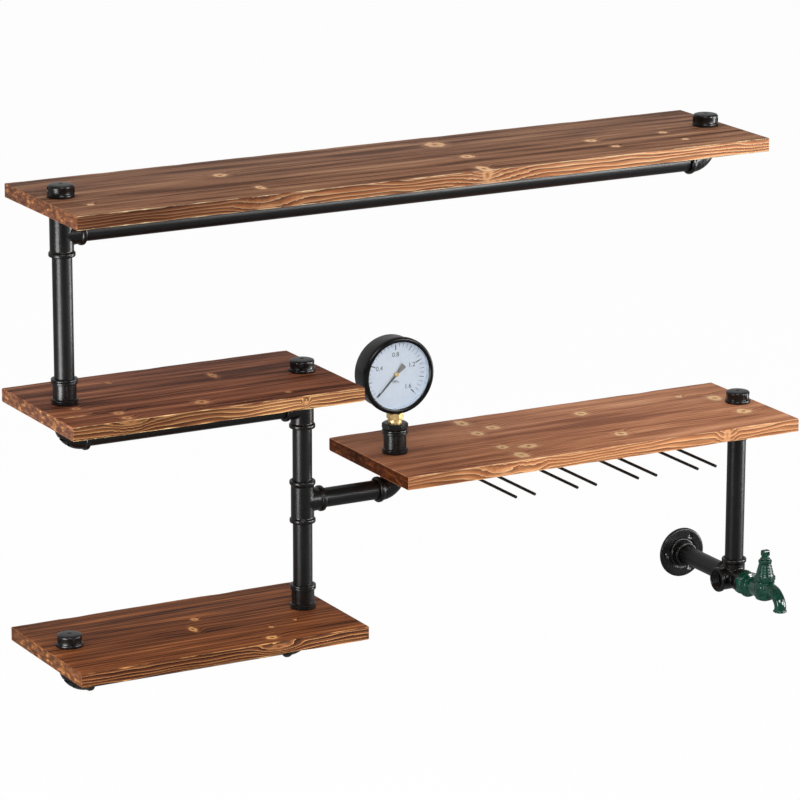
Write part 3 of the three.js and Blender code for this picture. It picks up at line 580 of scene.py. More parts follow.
def boardFinishes(tones, low, size, seed):
    # the board's own values over those that its finishes share: top and underside, long edges, ends
    long, deep, thick = size
    own = {**grainLook, "seed": seed, "corner": low, "streakWidth": tones["streakWidth"],
           "long": long}
    face = {**own, **faceLook, "knots": tones["knots"], "tones": tones["top"], "width": deep,
            "knotTones": tones["topKnot"], "run": tones["topRun"]}
    edge = {**own, **edgeLook, "knots": tones["edgeKnots"], "tones": tones["edge"], "width": thick,
            "knotTones": tones["edge"][:3], "run": tones["edgeRun"]}
    end = {**own, **endLook, "width": thick, "tint": tones["endTint"]}
    return [pineFinish(f"stainedPine{part}{seed}", look)
            for part, look in (("Face", face), ("Edge", edge), ("End", end))]


def makeBoard(node, columns, seed):
    low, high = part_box(node)
    piece = blockShape("pinePlank" + str(seed), (high - low) / mm, (low + high) / 2 / mm,
                       boardLook["eased"])
    # cut across all along, so that the wear has points to move
    bpy.ops.object.mode_set(mode="EDIT")
    cuts = int((high.x - low.x) / mm / boardLook["cutStep"])
    for index in range(1, cuts):
        bpy.ops.mesh.select_all(action="SELECT")
        x = low.x + (high.x - low.x) * index / cuts
        bpy.ops.mesh.bisect(plane_co=(x, 0, 0), plane_no=(1, 0, 0))
    bpy.ops.object.mode_set(mode="OBJECT")
    wornEdges(piece, low, high, seed)
    thick = (high.z - low.z) / mm
    for x in columns:
        hole = cylinder("hole", boardLook["holeRadius"], -overrun, thick + 2 * overrun, 40)
        combine(piece, settle(hole, (x, pipeY, low.z / mm)))
    finishes = boardFinishes(boardTones[node], low, (high - low) / mm, seed)
    dress(piece, [node], "shelf", "stained_board", *finishes, angle=28)
    # ends, long edges with their eased arrises, and the rest
    for side in piece.data.polygons:
        if abs(side.normal.x) > 0.8:
            side.material_index = 2
        elif abs(side.normal.y) > 0.4:
            side.material_index = 1


makeBoard("board_top", (leftX, topRightX), 1)
makeBoard("board_left_shelf", (leftX, middleX), 2)
makeBoard("board_right_shelf", (gaugeX, rightX), 3)
makeBoard("board_bottom_shelf", (leftX, middleX), 4)
print("boards made")


# Pipes, each a tube with a bore and eased ends

pipeLook = dict(wall=2.6, eased=0.6)


def makePipe(node):
    low, high = boxOf(node)
    size = high - low
    along = max(range(3), key=lambda axis: size[axis])
    radius = min(size) / 2
    length, bore, eased = size[along], radius - pipeLook["wall"], pipeLook["eased"]
    piece = turnedShape("steel" + node.title().replace("_", ""), [
        (bore, 0), (radius - eased, 0), (radius, eased), (radius, length - eased),
        (radius - eased, length), (bore, length), (bore, 0)], 64, ring=True)
    start = (low + high) / 2
    start[along] = low[along]
    settle(piece, start, ((0, 90, 0), (-90, 0, 0), (0, 0, 0))[along])
    dress(piece, [node], "shelf", "black_pipe", pipeSteel[along])


for node in ("pipe_top", "pipe_left_shelf", "pipe_bottom", "pipe_branch", "pipe_left_column",
             "pipe_middle_column_upper", "pipe_middle_column_lower", "pipe_right_column",
             "pipe_wall"):
    makePipe(node)
for node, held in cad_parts.items():
    if node.startswith("nipple"):
        held.material_slots[0].material = pipeSteel[2]
print("pipes made")


# Cast fittings, each modelled once round the point where its axes meet

up, down, right = (0, 0, 0), (180, 0, 0), (0, 90, 0)
left, front, back = (0, -90, 0), (90, 0, 0), (-90, 0, 0)

fittingLook = dict(
    reach=30, body=16, bead=18, beadWidth=6, socket=13.75, socketDepth=14, waterway=10.5,
    grain=0.75, softening=3, threadPitch=1.8, threadDepth=0.9)


def beadShape():
    reach, body, bead = fittingLook["reach"], fittingLook["body"], fittingLook["bead"]
    behind = reach - fittingLook["beadWidth"]
    return turnedShape("bead", [
        (body - 2, behind - 4), (body + 0.2, behind - 0.8), (bead - 0.5, behind + 0.2),
        (bead, behind + 1), (bead, reach - 1), (bead - 0.9, reach)])


def socketTool(threaded):
    reach, radius = fittingLook["reach"], fittingLook["socket"]
    foot = reach - fittingLook["socketDepth"]
    start = foot + 1
    profile = [(fittingLook["waterway"], 0), (fittingLook["waterway"], foot), (radius, start)]
    if threaded:
        pitch, crest = fittingLook["threadPitch"], radius - fittingLook["threadDepth"]
        for turn in range(int((reach - foot - 3) / pitch)):
            profile += [(crest, start + (turn + 0.5) * pitch), (radius, start + (turn + 1) * pitch)]
    profile += [(radius, reach - 1.2), (radius + 0.8, reach + 0.1), (radius + 0.8, reach + 2)]
    return turnedShape("socket", profile)


def castFitting(name, bodies, outlets, threadedOutlet=None):
    # bodies and beads melted together, and a socket cut into every outlet
    beads = [settle(beadShape(), turn=turn) for turn in outlets]
    casting = castSkin(joined(name, bodies + beads), fittingLook["grain"], fittingLook["softening"])
    for turn in outlets:
        combine(casting, settle(socketTool(turn == threadedOutlet), turn=turn))
    return casting


def branchedMaster(name, run, branches, threadedOutlet=None):
    reach, body = fittingLook["reach"] - 3, fittingLook["body"]
    bodies = [settle(cylinder("run", body, -reach, reach), turn=run[0])]
    bodies += [settle(cylinder("outlet", body, 0, reach), turn=turn) for turn in branches]
    return castFitting(name, bodies, (*run, *branches), threadedOutlet)


def elbowMaster(name):
    bend = fittingLook["reach"] - fittingLook["beadWidth"]
    return castFitting(name, [quarterBend("bend", fittingLook["body"], bend)], (up, right))


# here and below, a piece unpacks its dictionary in the order that its values stand in
couplingLook = dict(long=34, radius=15.8, rib=17.6, ribWide=1.8, beadWide=7)


def couplingMaster(name):
    long, body, ribOut, ribWide, wide = couplingLook.values()
    bead = fittingLook["bead"]
    half = [(bead - 0.9, 0), (bead - 0.2, 0.3), (bead, 0.9), (bead, 2), (bead - 0.8, 2.7),
            (bead - 0.1, 3.3), (bead, 3.8), (bead, wide - 1), (bead - 0.5, wide - 0.3),
            (body, wide + 0.4)]
    otherHalf = [(radius, long - height) for radius, height in reversed(half)]
    barrel = turnedShape(name, half + otherHalf, 72)
    rib = blockShape("rib", (2 * ribOut, ribWide, long - 2 * wide + 3), (0, 0, long / 2), 0.6)
    combine(barrel, rib, "UNION")
    return bored(barrel, fittingLook["socket"], -overrun, long + overrun)


capLook = dict(height=17, radius=17, rim=18.4, rimHeight=4.6, socketDeep=12, lugWide=4)


def capMaster(name):
    tall, body, rim, rimTop, deep, lugWide = capLook.values()
    dome = turnedShape(name, [
        (rim - 0.8, 0), (rim - 0.2, 0.3), (rim, 0.9), (rim, rimTop - 1.1),
        (rim - 0.3, rimTop - 0.5), (body - 0.4, rimTop), (body - 0.6, rimTop + 0.8),
        (body - 0.5, tall - 7), (body - 0.1, tall - 5.2), (body, tall - 4.2), (body, tall - 2.6),
        (body - 0.3, tall - 1.7), (body - 0.9, tall - 1.1), (body - 2, tall - 0.7),
        (body - 6, tall), (3.4, tall), (2.6, tall - 0.5), (0.4, tall - 0.7)], 72)
    lug = blockShape("lug", (2 * rim - 0.6, lugWide, tall - rimTop - 2.8),
                     (0, 0, (tall + rimTop) / 2 - 1.4), 0.8)
    combine(dome, lug, "UNION")
    return bored(dome, fittingLook["socket"], -overrun, deep)


def placeCopies(master, places):
    # a copy for each node at its X and Z, turned about Z in degrees
    for node, (x, z, turn) in places.items():
        piece = copyOf(master, "cast" + node.title().replace("_", ""))
        settle(piece, (x, pipeY, z), (0, 0, turn))
        dress(piece, [node], "shelf", "black_fitting", castIron)
    bpy.data.objects.remove(master)


def onFoot(node, turn):
    low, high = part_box(node)
    return (low.x + high.x) / 2 / mm, low.z / mm, turn


placeCopies(branchedMaster("teeMaster", (up, down), (right,)), {
    "tee_top_left": (leftX, topRun, 0),
    "tee_left_shelf": (middleX, leftRun, 180),
    "tee_middle_column": (middleX, branchRun, 0),
})
# the outlet on the left is empty, so its thread shows
placeCopies(branchedMaster("sideOutletMaster", (front, back), (up, left), left), {
    "tee_side_outlet": (rightX, wallRun, 0),
})
placeCopies(elbowMaster("elbowMaster"), {
    "elbow_top_right": (topRightX, topRun, 180),
    "elbow_left_shelf": (leftX, leftRun, 0),
    "elbow_right_shelf": (gaugeX, branchRun, 180),
    "elbow_bottom_left": (leftX, bottomRun, 0),
    "elbow_bottom_right": (middleX, bottomRun, 180),
})
# how far each coupling and cap is screwed on, in degrees
couplingTurns = {"coupling_left_column": 78, "coupling_middle_column": 20, "coupling_gauge": 68,
                 "coupling_right_column": 0}
capTurns = {"cap_top_left": -25, "cap_top_right": -20, "cap_left_shelf": 60, "cap_right_shelf": 109,
            "cap_bottom_shelf": 84}
placeCopies(couplingMaster("couplingMaster"),
            {node: onFoot(node, turn) for node, turn in couplingTurns.items()})
placeCopies(capMaster("capMaster"), {node: onFoot(node, turn) for node, turn in capTurns.items()})
print("fittings made")


# Wall flange

flangeLook = dict(
    radius=37, thick=6, hub=18, hubHigh=12, groove=21.5, holeCircle=27, hole=2, sink=5.4,
    sinkDeep=1.6, holeAngles=(60, 180, 300))


def makeFlange():
    (radius, thick, hub, hubHigh, groove, centre, hole, sink, sinkDeep,
     holeAngles) = flangeLook.values()
    top = thick + hubHigh
    plate = turnedShape("castWallFlange", [
        (radius - 1, 0), (radius, 1), (radius, thick - 1.6), (radius - 1.4, thick - 0.3),
        (radius - 3, thick), (groove + 1.6, thick), (groove + 0.6, thick - 1.1),
        (groove - 1.4, thick - 1.1), (hub + 0.5, thick + 0.6), (hub, thick + 2), (hub, top - 1.2),
        (hub - 1, top)], 72)
    castSkin(plate, 0.7, 2)
    for angle in map(math.radians, holeAngles):
        tool = turnedShape("screwHole", [(hole, -overrun), (hole, thick - sinkDeep), (sink, thick),
                                         (sink, thick + 2 * overrun)], 32)
        combine(plate, settle(tool, (centre * math.cos(angle), centre * math.sin(angle), 0)))
    socket = fittingLook["socket"]
    combine(plate, turnedShape("bore", [
        (socket, -overrun), (socket, top - 1), (socket + 0.8, top + 0.1),
        (socket + 0.8, top + overrun)]))
    settle(plate, (rightX, 0, wallRun), front)
    dress(plate, ["wall_flange"], "shelf", "black_fitting", castIron)


makeFlange()
print("flange made")


# Pressure gauge, modelled facing up and then turned to face the room

gaugeLook = dict(
    case=51.5, wall=1.5, caseBack=24, caseRim=8.9, footRing=33, stemHole=5.8, bezel=54, lip=47.5,
    front=14, dial=49.2, dialBore=2.5, dialFront=1.5, glassBack=9.2, glass=2)


def hexShape(name, across, height, eased, base):
    # a hexagon whose corners are turned off at both ends as on a nut
    corner, flat = across / math.sqrt(3), across / 2 - 0.1
    nut = turnedShape(name, [(corner, base), (corner, base + height)], 6)
    turned = turnedShape("turned", [
        (flat, base - 0.01), (corner + 0.05, base + eased), (corner + 0.05, base + height - eased),
        (flat, base + height + 0.01)], 72)
    return combine(nut, turned, "INTERSECT")


def placeGauge(piece, node, slot, finish, body="shelf"):
    settle(piece, (gaugeX, pipeY, gaugeZ), front)
    dress(piece, [node] if node else [], body, slot, finish)


def makeGaugeShell():
    (case, wall, rear, rim, footRing, stemHole, bezel, lip, face, dial, bore, top, glassBack,
     glass) = gaugeLook.values()
    cup = turnedShape("gaugeCase", [
        (footRing, 0.9 - rear), (footRing + 1.5, -rear), (case - 3, -rear),
        (case - 0.9, 0.8 - rear), (case, 3 - rear), (case, rim), (case - wall, rim),
        (case - wall, wall - rear), (1, wall - rear)], 96)
    hole = cylinder("stemHole", stemHole, case - wall - 3, case + 2, 32)
    combine(cup, settle(hole, turn=(90, 0, 0)))
    placeGauge(cup, "gauge_case", "gauge_case_black", caseEnamel)
    inside = case + 0.35
    ring = turnedShape("gaugeBezel", [
        (inside, face - 8), (bezel - 0.5, face - 8), (bezel, face - 7.4), (bezel, face - 2.6),
        (bezel - 0.5, face - 1.2), (bezel - 1.8, face - 0.2), (bezel - 3, face), (lip + 2, face),
        (lip + 0.8, face - 0.4), (lip, face - 1.4), (lip, face - 2.5), (inside, face - 2.5),
        (inside, face - 8)], 128, ring=True)
    placeGauge(ring, "gauge_bezel", "gauge_case_black", caseEnamel)
    pane = cylinder("gaugeGlass", case, glassBack, glassBack + glass, 96, eased=0.4)
    placeGauge(pane, "gauge_glass", "gauge_glass", clearGlass)
    # the pale ring that holds the glass off the dial
    spacer = turnedShape("gaugeSpacer", [
        (dial - 1, top + 0.1), (dial, top + 0.1), (dial, glassBack - 0.3),
        (dial - 1.3, glassBack - 0.3), (dial - 1, top + 0.1)], 96, ring=True)
    placeGauge(spacer, None, "dial_face", dialPaint)
    plate = turnedShape("gaugeDial", [
        (bore, top - 1), (dial, top - 1), (dial, top - 0.2), (dial - 0.2, top), (bore + 0.2, top),
        (bore, top - 0.2), (bore, top - 1)], 96, ring=True)
    placeGauge(plate, "gauge_dial", "dial_face", dialPaint)


# marks as inner end, outer end and width in mm; a major one has a fine one beyond it
dialLook = dict(
    steps=32, zero=225, sweep=270, raised=0.08, clear=0.02,
    major=[(34, 40.5, 1.5), (40.5, 45.2, 0.5)], half=[(37.4, 45.2, 0.8)], minor=[(38.6, 45.2, 0.5)],
    numbers={"0.4": 8, "0.8": 16, "1.2": 24, "1.6": 32}, numberRadius=27.5, numberHigh=6.6,
    unitHigh=4.2, unitDrop=11)
inkMiddle = gaugeLook["dialFront"] + dialLook["raised"] / 2 + dialLook["clear"]


def tickMark(inner, outer, wide, angle):
    mark = blockShape("tick", (outer - inner, wide, dialLook["raised"]),
                      ((inner + outer) / 2, 0, inkMiddle), 0.02)
    return settle(mark, turn=(0, 0, angle))


def dialText(words, high, at):
    deselectAll()
    bpy.ops.object.text_add()
    text = bpy.context.object.data
    text.body, text.size = words, high * mm / 0.73  # a figure is that share of the font's size
    text.align_x = text.align_y = "CENTER"
    text.extrude = dialLook["raised"] / 2 * mm
    text.resolution_u = 4
    bpy.ops.object.convert(target="MESH")
    return settle(nameNew("dialText"), (*at, inkMiddle))


def stepAngle(step):
    return dialLook["zero"] - dialLook["sweep"] * step / dialLook["steps"]


def makeDialMarks():
    marks = []
    for step in range(dialLook["steps"] + 1):
        kind = "minor" if step % 4 else "half" if step % 8 else "major"
        marks += [tickMark(*ends, wide, stepAngle(step)) for *ends, wide in dialLook[kind]]
    for words, step in dialLook["numbers"].items():
        angle = math.radians(stepAngle(step))
        at = [dialLook["numberRadius"] * turn(angle) for turn in (math.cos, math.sin)]
        marks.append(dialText(words, dialLook["numberHigh"], at))
    marks.append(dialText("MPa", dialLook["unitHigh"], (0, -dialLook["unitDrop"])))
    placeGauge(joined("gaugeDialMarks", marks), None, "dial_face", dialInk)


pointerLook = dict(
    long=41, wide=3.1, tip=0.9, thick=0.9, lift=2, tailNeck=6, tail=17, tailWide=9, flare=1.5,
    tailRound=0.72, hub=3.2, hubHigh=2.4, arbor=1.2, plateBack=-11.5)


def bladeBlock(name, x, size):
    # a short block across the pointer's axis, its ends left to be drawn out
    height = gaugeLook["dialFront"] + pointerLook["lift"] + pointerLook["thick"] / 2
    deselectAll()
    bpy.ops.mesh.primitive_cube_add(size=1, location=(x * mm, 0, height * mm),
                                    scale=Vector(size) * mm)
    return startEditing(name)


def stretchEnd(side, reach, wideTimes):
    # draws the blade's end face along X and narrows or widens it
    piece = bpy.context.object
    bpy.ops.mesh.select_all(action="DESELECT")
    bpy.ops.object.mode_set(mode="OBJECT")
    far = max(side * vertex.co.x for vertex in piece.data.vertices)
    for face in piece.data.polygons:
        face.select = side * face.center.x > far - 0.01 * mm and side * face.normal.x > 0.9
    bpy.ops.object.mode_set(mode="EDIT")
    bpy.ops.mesh.select_mode(type="FACE")
    bpy.ops.mesh.extrude_region_move(TRANSFORM_OT_translate={"value": (side * reach * mm, 0, 0)})
    bpy.ops.transform.resize(value=(1, wideTimes, 1))


def placeBlade(piece, node, finish):
    closeShape()
    settle(piece, turn=(0, 0, dialLook["zero"]))
    placeGauge(piece, node, "pointer_black", finish, "pointer")


def makePointer():
    (long, wide, tip, thick, lift, neck, tailLong, tailWide, flare, tailRound, hub, hubHigh, arbor,
     plateBack) = pointerLook.values()
    blade = bladeBlock("gaugePointerBlade", 0, (2, wide, thick))
    stretchEnd(1, long - 1, tip / wide)
    placeBlade(blade, "gauge_pointer", pointerPaint)
    # the tail flares behind a neck, and is a hair thinner than the blade that it overlaps
    tail = bladeBlock("gaugePointerTail", -2, (2, wide, thick * 0.98))
    stretchEnd(-1, neck - 3, flare)
    stretchEnd(-1, tailLong - neck - 1, tailWide / wide / flare)
    stretchEnd(-1, 1, tailRound)
    placeBlade(tail, None, tailPaint)
    bottom = gaugeLook["dialFront"] + lift
    top = bottom + hubHigh
    boss = turnedShape("gaugePointerHub", [
        (arbor, plateBack), (arbor, bottom - 1), (hub, bottom - 0.3), (hub, top - 0.8),
        (hub - 0.8, top - 0.1), (1.3, top - 0.1), (1.2, top - 0.5), (0.1, top - 0.5)], 40)
    placeGauge(boss, None, "brass", brass, "pointer")


# post and block stand inside the case and carry the movement
stemLook = dict(
    radius=9.8, hex=20.5, hexHigh=9, eased=1.6, collar=5, shank=12, neck=5.4, block=(14, 21, 22),
    blockAt=(0, 10.5, -38), post=2.7, postEnds=(-53, -47))


def makeStem():
    (radius, across, hexHigh, eased, collar, shank, neck, block, blockAt, post,
     ends) = stemLook.values()
    top = -gaugeLook["bezel"] - 0.3
    nutLow = top - hexHigh
    low = nutLow - collar - shank
    turned = turnedShape("turned", [
        (radius - 0.6, low), (radius, low + 0.6), (radius, nutLow - 0.9),
        (radius - 0.7, nutLow - 0.5), (radius - 0.7, nutLow + 0.4), (neck, top - 1),
        (neck, gaugeLook["wall"] - gaugeLook["case"] - 0.3)], 64)
    stem = joined("gaugeStem", [
        hexShape("nut", across, hexHigh, eased, nutLow), turned,
        blockShape("block", block, blockAt, 0.5),
        settle(cylinder("post", post, *ends, 24), (0, post, 0))])
    settle(stem, (gaugeX, pipeY, gaugeZ))
    dress(stem, ["gauge_stem"], "shelf", "brass", brass)


bushLook = dict(across=32, hexHigh=9, eased=1.4, shank=13.45, tip=13.2, bore=10.3)


def makeBush():
    across, hexHigh, eased, radius, tip, bore = bushLook.values()
    foot, top = (corner.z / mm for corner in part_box("gauge_bush"))
    nut = hexShape("nut", across, hexHigh, eased, top - hexHigh)
    shank = turnedShape("shank", [(tip, foot), (radius, foot + 0.5), (radius, top - hexHigh + 1)])
    bush = castSkin(joined("gaugeBush", [nut, shank]), 0.6, 1)
    bored(bush, bore, foot - overrun, top + overrun)
    settle(bush, (gaugeX, pipeY, 0))
    dress(bush, ["gauge_bush"], "shelf", "black_fitting", castIron)


makeGaugeShell()
makeDialMarks()
makePointer()
makeStem()
makeBush()
for node in ("gauge_bourdon_tube", "gauge_movement_plate", "gauge_sector"):
    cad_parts[node].material_slots[0].material = brass
print("gauge made")


# Tap, modelled round the point where its axis meets the front outlet, facing the room

spindleY = middleOf("tap_spindle").y
spindleBore = 4.3


def placeRound(piece, node, body, slot, finish):
    # a piece on the spindle's axis, modelled at its own height
    settle(piece, (rightX, spindleY, 0))
    dress(piece, [node], body, slot, finish)


# curve: the spout's back as shares of reach and rise; swell: its thickness from boss to mouth
tapLook = dict(
    across=34, hexLong=11, shank=13.4, shankLong=13.7, collar=18.5, collarLong=3.5, waist=11,
    barrel=12.5, bossFrom=51, boss=14.5, bossTop=17, bossBottom=12.5, chamber=10.2, inlet=5,
    inletDrop=5.5, spout=8.8, rise=8, reach=41, drop=19, lip=10, lipLong=3, mouth=5.2,
    curve=((0.3, 0.85), (0.55, 0.95), (0.8, 0.3)), swell=(1.15, 1.08, 1, 1, 0.98, 0.98))


def makeTapBody():
    (across, hexLong, shank, shankLong, collar, collarLong, waist, barrel, bossFrom, boss, bossTop,
     bossBottom, chamber, inlet, inletDrop, spout, rise, reach, drop, lip, lipLong, mouth, curve,
     swell) = tapLook.values()
    # along the axis of the front outlet
    collarEnd = hexLong + collarLong
    parts = [
        settle(hexShape("nut", across, hexLong - 0.3, 1.2, 0.3), turn=front),
        settle(cylinder("shank", shank, -shankLong, 1), turn=front),
        settle(turnedShape("barrel", [
            (collar - 1.5, hexLong), (collar, hexLong + 0.8), (collar, collarEnd - 1),
            (collar - 2, collarEnd), (waist + 1, collarEnd + 1.5), (waist, collarEnd + 5),
            (barrel, bossFrom - 10), (barrel, bossFrom)]), turn=front),
    ]
    # round the spindle, and down to the mouth
    bossAt, mouthY, lipTop = (0, -bossFrom, 0), -bossFrom - reach, lipLong - drop
    parts.append(settle(turnedShape("boss", [
        (boss * 0.45, -bossBottom), (boss * 0.85, 2.5 - bossBottom), (boss, -5), (boss, 9),
        (boss - 0.8, 10), (boss - 0.8, 13), (boss, 14), (boss, bossTop - 0.5),
        (boss - 0.6, bossTop)]),
        bossAt))
    path = [(0, -bossFrom - out * reach, lift * rise) for out, lift in curve]
    path += [(0, mouthY, -drop * 0.45), (0, mouthY, -drop)]
    parts.append(bentRod("spout", [bossAt, *path], spout, swell))
    parts.append(settle(turnedShape("lip", [
        (lip - 1, -drop + 0.05), (lip, 0.8 - drop), (lip, lipTop - 0.8), (lip - 1.2, lipTop)]),
        (0, mouthY, 0)))
    body = castSkin(joined("tapBody", parts), 0.55, 3)
    combine(body, bentRod("waterway", [*path, (0, mouthY, -drop - 3)], mouth))
    combine(body, settle(cylinder("chamber", chamber, 1, 19), bossAt))
    waterIn = cylinder("inlet", inlet, -15, bossFrom - 6, 32)
    combine(body, settle(waterIn, (0, 0, -inletDrop), front))
    settle(body, (rightX, spindleY + bossFrom, wallRun))
    dress(body, ["tap_body"], "shelf", "tap_green", greenEnamel)


# the bonnet's tiers as radius, from and to, over its hexagon's foot
bonnetLook = dict(
    high=26, across=27, hexHigh=8, eased=1.2, shank=9.7, top=8.6,
    tiers=((12.9, 7.5, 10), (12.1, 10.8, 14), (11.2, 14.8, 17.9), (10.2, 18.8, 21.8),
           (9.2, 22.8, 25.7)))


def makeBonnet():
    tall, across, hexHigh, eased, radius, tip, tiers = bonnetLook.values()
    low, high = boxOf("tap_bonnet")
    base = high.z - tall
    nut = hexShape("nut", across, hexHigh, eased, base)
    profile = [(wide, base + height) for wide, *ends in tiers for height in ends]
    cone = turnedShape("cone", profile + [(tip, base + tall)])
    shank = cylinder("shank", radius, low.z, base + 1)
    bonnet = castSkin(joined("tapBonnet", [nut, cone, shank]), 0.5, 2)
    bored(bonnet, spindleBore, low.z - overrun, high.z + overrun)
    placeRound(bonnet, "tap_bonnet", "shelf", "tap_green", greenEnamel)


packingLook = dict(across=17, eased=0.8)


def makePackingNut():
    low, high = boxOf("tap_packing_nut")
    across, eased = packingLook.values()
    nut = hexShape("tapPackingNut", across, high.z - low.z, eased, low.z)
    castSkin(nut, 0.4, 1)
    bored(nut, spindleBore, low.z - overrun, high.z + overrun)
    placeRound(nut, "tap_packing_nut", "shelf", "tap_green", greenEnamel)


spindleLook = dict(radius=4, eased=0.4)


def makeSpindle():
    radius, eased = spindleLook.values()
    low, high = boxOf("tap_spindle")
    spindle = cylinder("tapSpindle", radius, low.z, high.z, eased=eased)
    placeRound(spindle, "tap_spindle", "tap_spindle", "spindle_steel", spindleSteel)


handleLook = dict(
    foot=7.5, neck=5.4, head=(12.4, 8.6, 9.5), headMiddle=9.4, headEased=2.2, loop=4.7,
    loopHole=1.7, loopHalf=1.6, loopAt=(5.6, -1.4, 15.6), boreDeep=8)


def makeHandle():
    foot, neck, head, headMiddle, headEased, outer, inner, half, at, deep = handleLook.values()
    base = boxOf("tap_handle")[0].z
    hub = turnedShape("hub", [(foot - 0.5, base), (foot, base + 0.5), (foot, base + 1.6),
                              (foot - 0.9, base + 2.2), (neck, base + 3.2), (neck, base + 6)])
    head = blockShape("head", head, (0, 0, base + headMiddle), headEased)
    loop = turnedShape("loop", [
        (inner, -half), (outer - 0.9, -half), (outer, -half / 2), (outer, half / 2),
        (outer - 0.9, half), (inner, half), (inner, -half)], 40, ring=True)
    settle(loop, (at[0], at[1], base + at[2]), front)
    handle = castSkin(joined("tapHandle", [hub, head, loop]), 0.4, 2)
    bored(handle, spindleBore, base - overrun, base + deep)
    placeRound(handle, "tap_handle", "tap_spindle", "tap_green", greenEnamel)


makeTapBody()
makeBonnet()
makePackingNut()
makeSpindle()
makeHandle()
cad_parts["tap_valve"].material_slots[0].material = brass
print("tap made")


# Rails for glasses under the right shelf, modelled once and copied

railLook = dict(rod=2.1, apart=30, plate=(48, 24, 2), bend=8, screw=2.2, screwShare=0.33)


def makeRails():
    rod, apart, (across, deep, thick), bend, screw, screwShare = railLook.values()
    low, high = boxOf("stem_rail_1")
    plateY, plateZ, rodZ = high.y - deep / 2, high.z - thick, low.z + rod
    plate = blockShape("plate", (across, deep, thick), (0, plateY, plateZ + thick / 2), 0.5)
    for side in (-1, 1):
        tool = cylinder("screwHole", screw, plateZ - overrun, high.z + overrun, 24)
        combine(plate, settle(tool, (0, plateY + side * deep * screwShare, 0)))
    parts = [plate]
    for x in (-apart / 2, apart / 2):
        # down from the plate, round a quarter turn and out to the front
        corner = [(x, plateY - bend + bend * math.cos(turn), rodZ + bend - bend * math.sin(turn))
                  for turn in (math.radians(15 * step) for step in range(7))]
        path = [(x, plateY, plateZ + 0.5), *corner, (x, low.y, rodZ)]
        parts.append(bentRod("rod", path, rod, smooth=False, roundness=4))
    master = joined("railMaster", parts)
    for index in range(1, 5):
        node = f"stem_rail_{index}"
        piece = copyOf(master, f"stemRail{index}")
        settle(piece, (middleOf(node).x, 0, 0))
        dress(piece, [node], "shelf", "rail_wire", railSteel, angle=40)
    bpy.data.objects.remove(master)


makeRails()
print("rails made")


# Floor, lights and camera

# lengths in m; reflections see a dimmer floor and room than the eye does
studio = dict(
    white="#ffffff", floorSize=14, floorAt=(-0.5, 0, -0.36), floorGlow=0.96, floorGloss=0.3,
    world=0.5, room=0.16, sweep=0.55, sweepEnds=(0.1, 0.75))


def raysOf(tree):
    # the kinds of ray, and whether the eye sees this one, straight or through glass
    rays = addNode(tree, "LightPath").node.outputs
    seen = [rays["Is Camera Ray"], rays["Is Transmission Ray"]]
    return rays, addNode(tree, "Math", seen, operation="MAXIMUM")


def makeFloor():
    deselectAll()
    bpy.ops.mesh.primitive_plane_add(size=studio["floorSize"], location=studio["floorAt"])
    floor = nameNew("paleFloor")
    # matt white that glows by itself, so that it is an even white to the eye
    white = hexColour(studio["white"])
    finish, tree = startFinish("paleStudioFloor", {"Base Color": white, "Roughness": 0.9,
                                                   "Specular IOR Level": 0.0})
    rays, seen = raysOf(tree)
    glowing = addNode(tree, "Math", [seen, studio["floorGlow"]], operation="MULTIPLY")
    share = addNode(tree, "Math", [glowing, rays["Is Glossy Ray"]], operation="MAXIMUM")
    level = addNode(tree, "MapRange", [rays["Is Glossy Ray"], 0, 1, 1.0, studio["floorGloss"]])
    glow = addNode(tree, "Emission", {"Color": white, "Strength": level})
    mixed = addNode(tree, "MixShader", [share, tree.nodes["Principled BSDF"].outputs[0], glow])
    tree.links.new(mixed, tree.nodes["Material Output"].inputs["Surface"])
    floor.data.materials.append(finish)


def makeWorld():
    world = bpy.data.worlds.new("paleStudio")
    bpy.context.scene.world = world
    world.use_nodes = True
    tree = world.node_tree
    light = tree.nodes["Background"]
    rays, seen = raysOf(tree)
    # gloss sees the white sweep behind the shelves and a dimmer room in front of them
    direction = addNode(tree, "SeparateXYZ", [addNode(tree, "TexCoord", out="Generated")], out=1)
    sweep = addNode(tree, "MapRange", [direction, *studio["sweepEnds"], studio["room"],
                                       studio["sweep"]])
    gloss = addNode(tree, "Mix", {0: rays["Is Glossy Ray"], 2: studio["world"], 3: sweep})
    level = addNode(tree, "Mix", {0: seen, 2: gloss, 3: 1.0})
    tree.links.new(level, light.inputs["Strength"])
    light.inputs["Color"].default_value = hexColour(studio["white"])


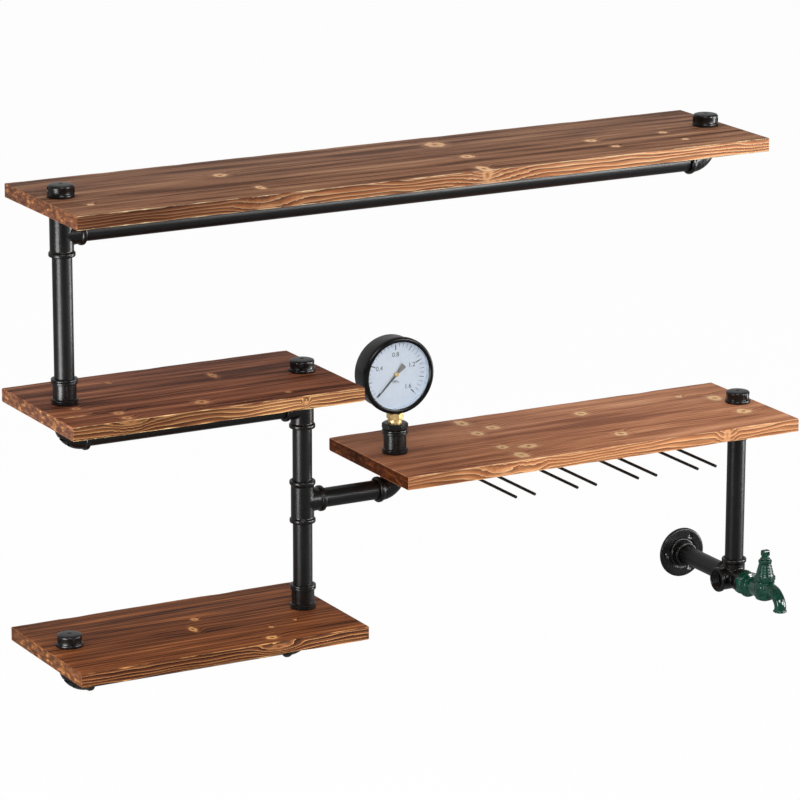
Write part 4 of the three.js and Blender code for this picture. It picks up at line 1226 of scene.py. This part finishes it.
lamps = [  # name, place, aim, width and height in m, power in W
    ("keySoftbox", (-1.9, -3.2, 2.2), (-0.5, -0.1, 0.2), (1.4, 1.0), 64),
    ("tallStrip", (-1.95, -0.54, 0.14), (-1.0, -0.14, 0.14), (0.5, 0.55), 15),
    ("rimStrip", (1.6, -0.9, 0.1), (-0.5, -0.14, 0.1), (0.8, 0.8), 34),
    ("sheenStrip", (1.2, -2.6, 0.95), (-0.4, -0.14, 0.6), (1.0, 0.6), 60),
    ("fillSoftbox", (2.2, -2.2, 0.9), (-0.4, -0.1, 0.1), (1.2, 1.6), 22),
    ("topSoftbox", (-0.5, 0.3, 2.6), (-0.5, -0.1, 0.2), (2.4, 1.0), 10),
]
glossOnly = ("rimStrip", "sheenStrip")  # these two show as lines on the black paint alone


def makeLamps():
    for name, place, aim, size, power in lamps:
        lamp = bpy.data.lights.new(name, "AREA")
        lamp.shape = "RECTANGLE"
        lamp.size, lamp.size_y = size
        lamp.energy = power
        holder = bpy.data.objects.new(name, lamp)
        bpy.context.collection.objects.link(holder)
        holder.location = place
        holder.rotation_euler = (Vector(aim) - Vector(place)).to_track_quat("-Z", "Y").to_euler()
        holder.visible_diffuse = name not in glossOnly


cameraLook = dict(
    place=(-3.2870, -5.1122, 1.8322), azimuth=28.805, elevation=15.02, roll=0.09, lens=191.98,
    sensor=36)


def makeCamera():
    place, azimuth, elevation, roll, lens, sensor = cameraLook.values()
    camera = bpy.data.cameras.new("photoCamera")
    camera.lens, camera.sensor_width = lens, sensor
    holder = bpy.data.objects.new("photoCamera", camera)
    bpy.context.collection.objects.link(holder)
    holder.location = place
    aim = Matrix.Identity(3)
    for axis, angle in (("Z", -azimuth), ("X", 90 - elevation), ("Z", roll)):
        aim = aim @ Matrix.Rotation(math.radians(angle), 3, axis)
    holder.rotation_euler = aim.to_euler()
    bpy.context.scene.camera = holder


makeFloor()
makeWorld()
makeLamps()
makeCamera()
bpy.context.scene.view_settings.view_transform = "Standard"
print("studio made")
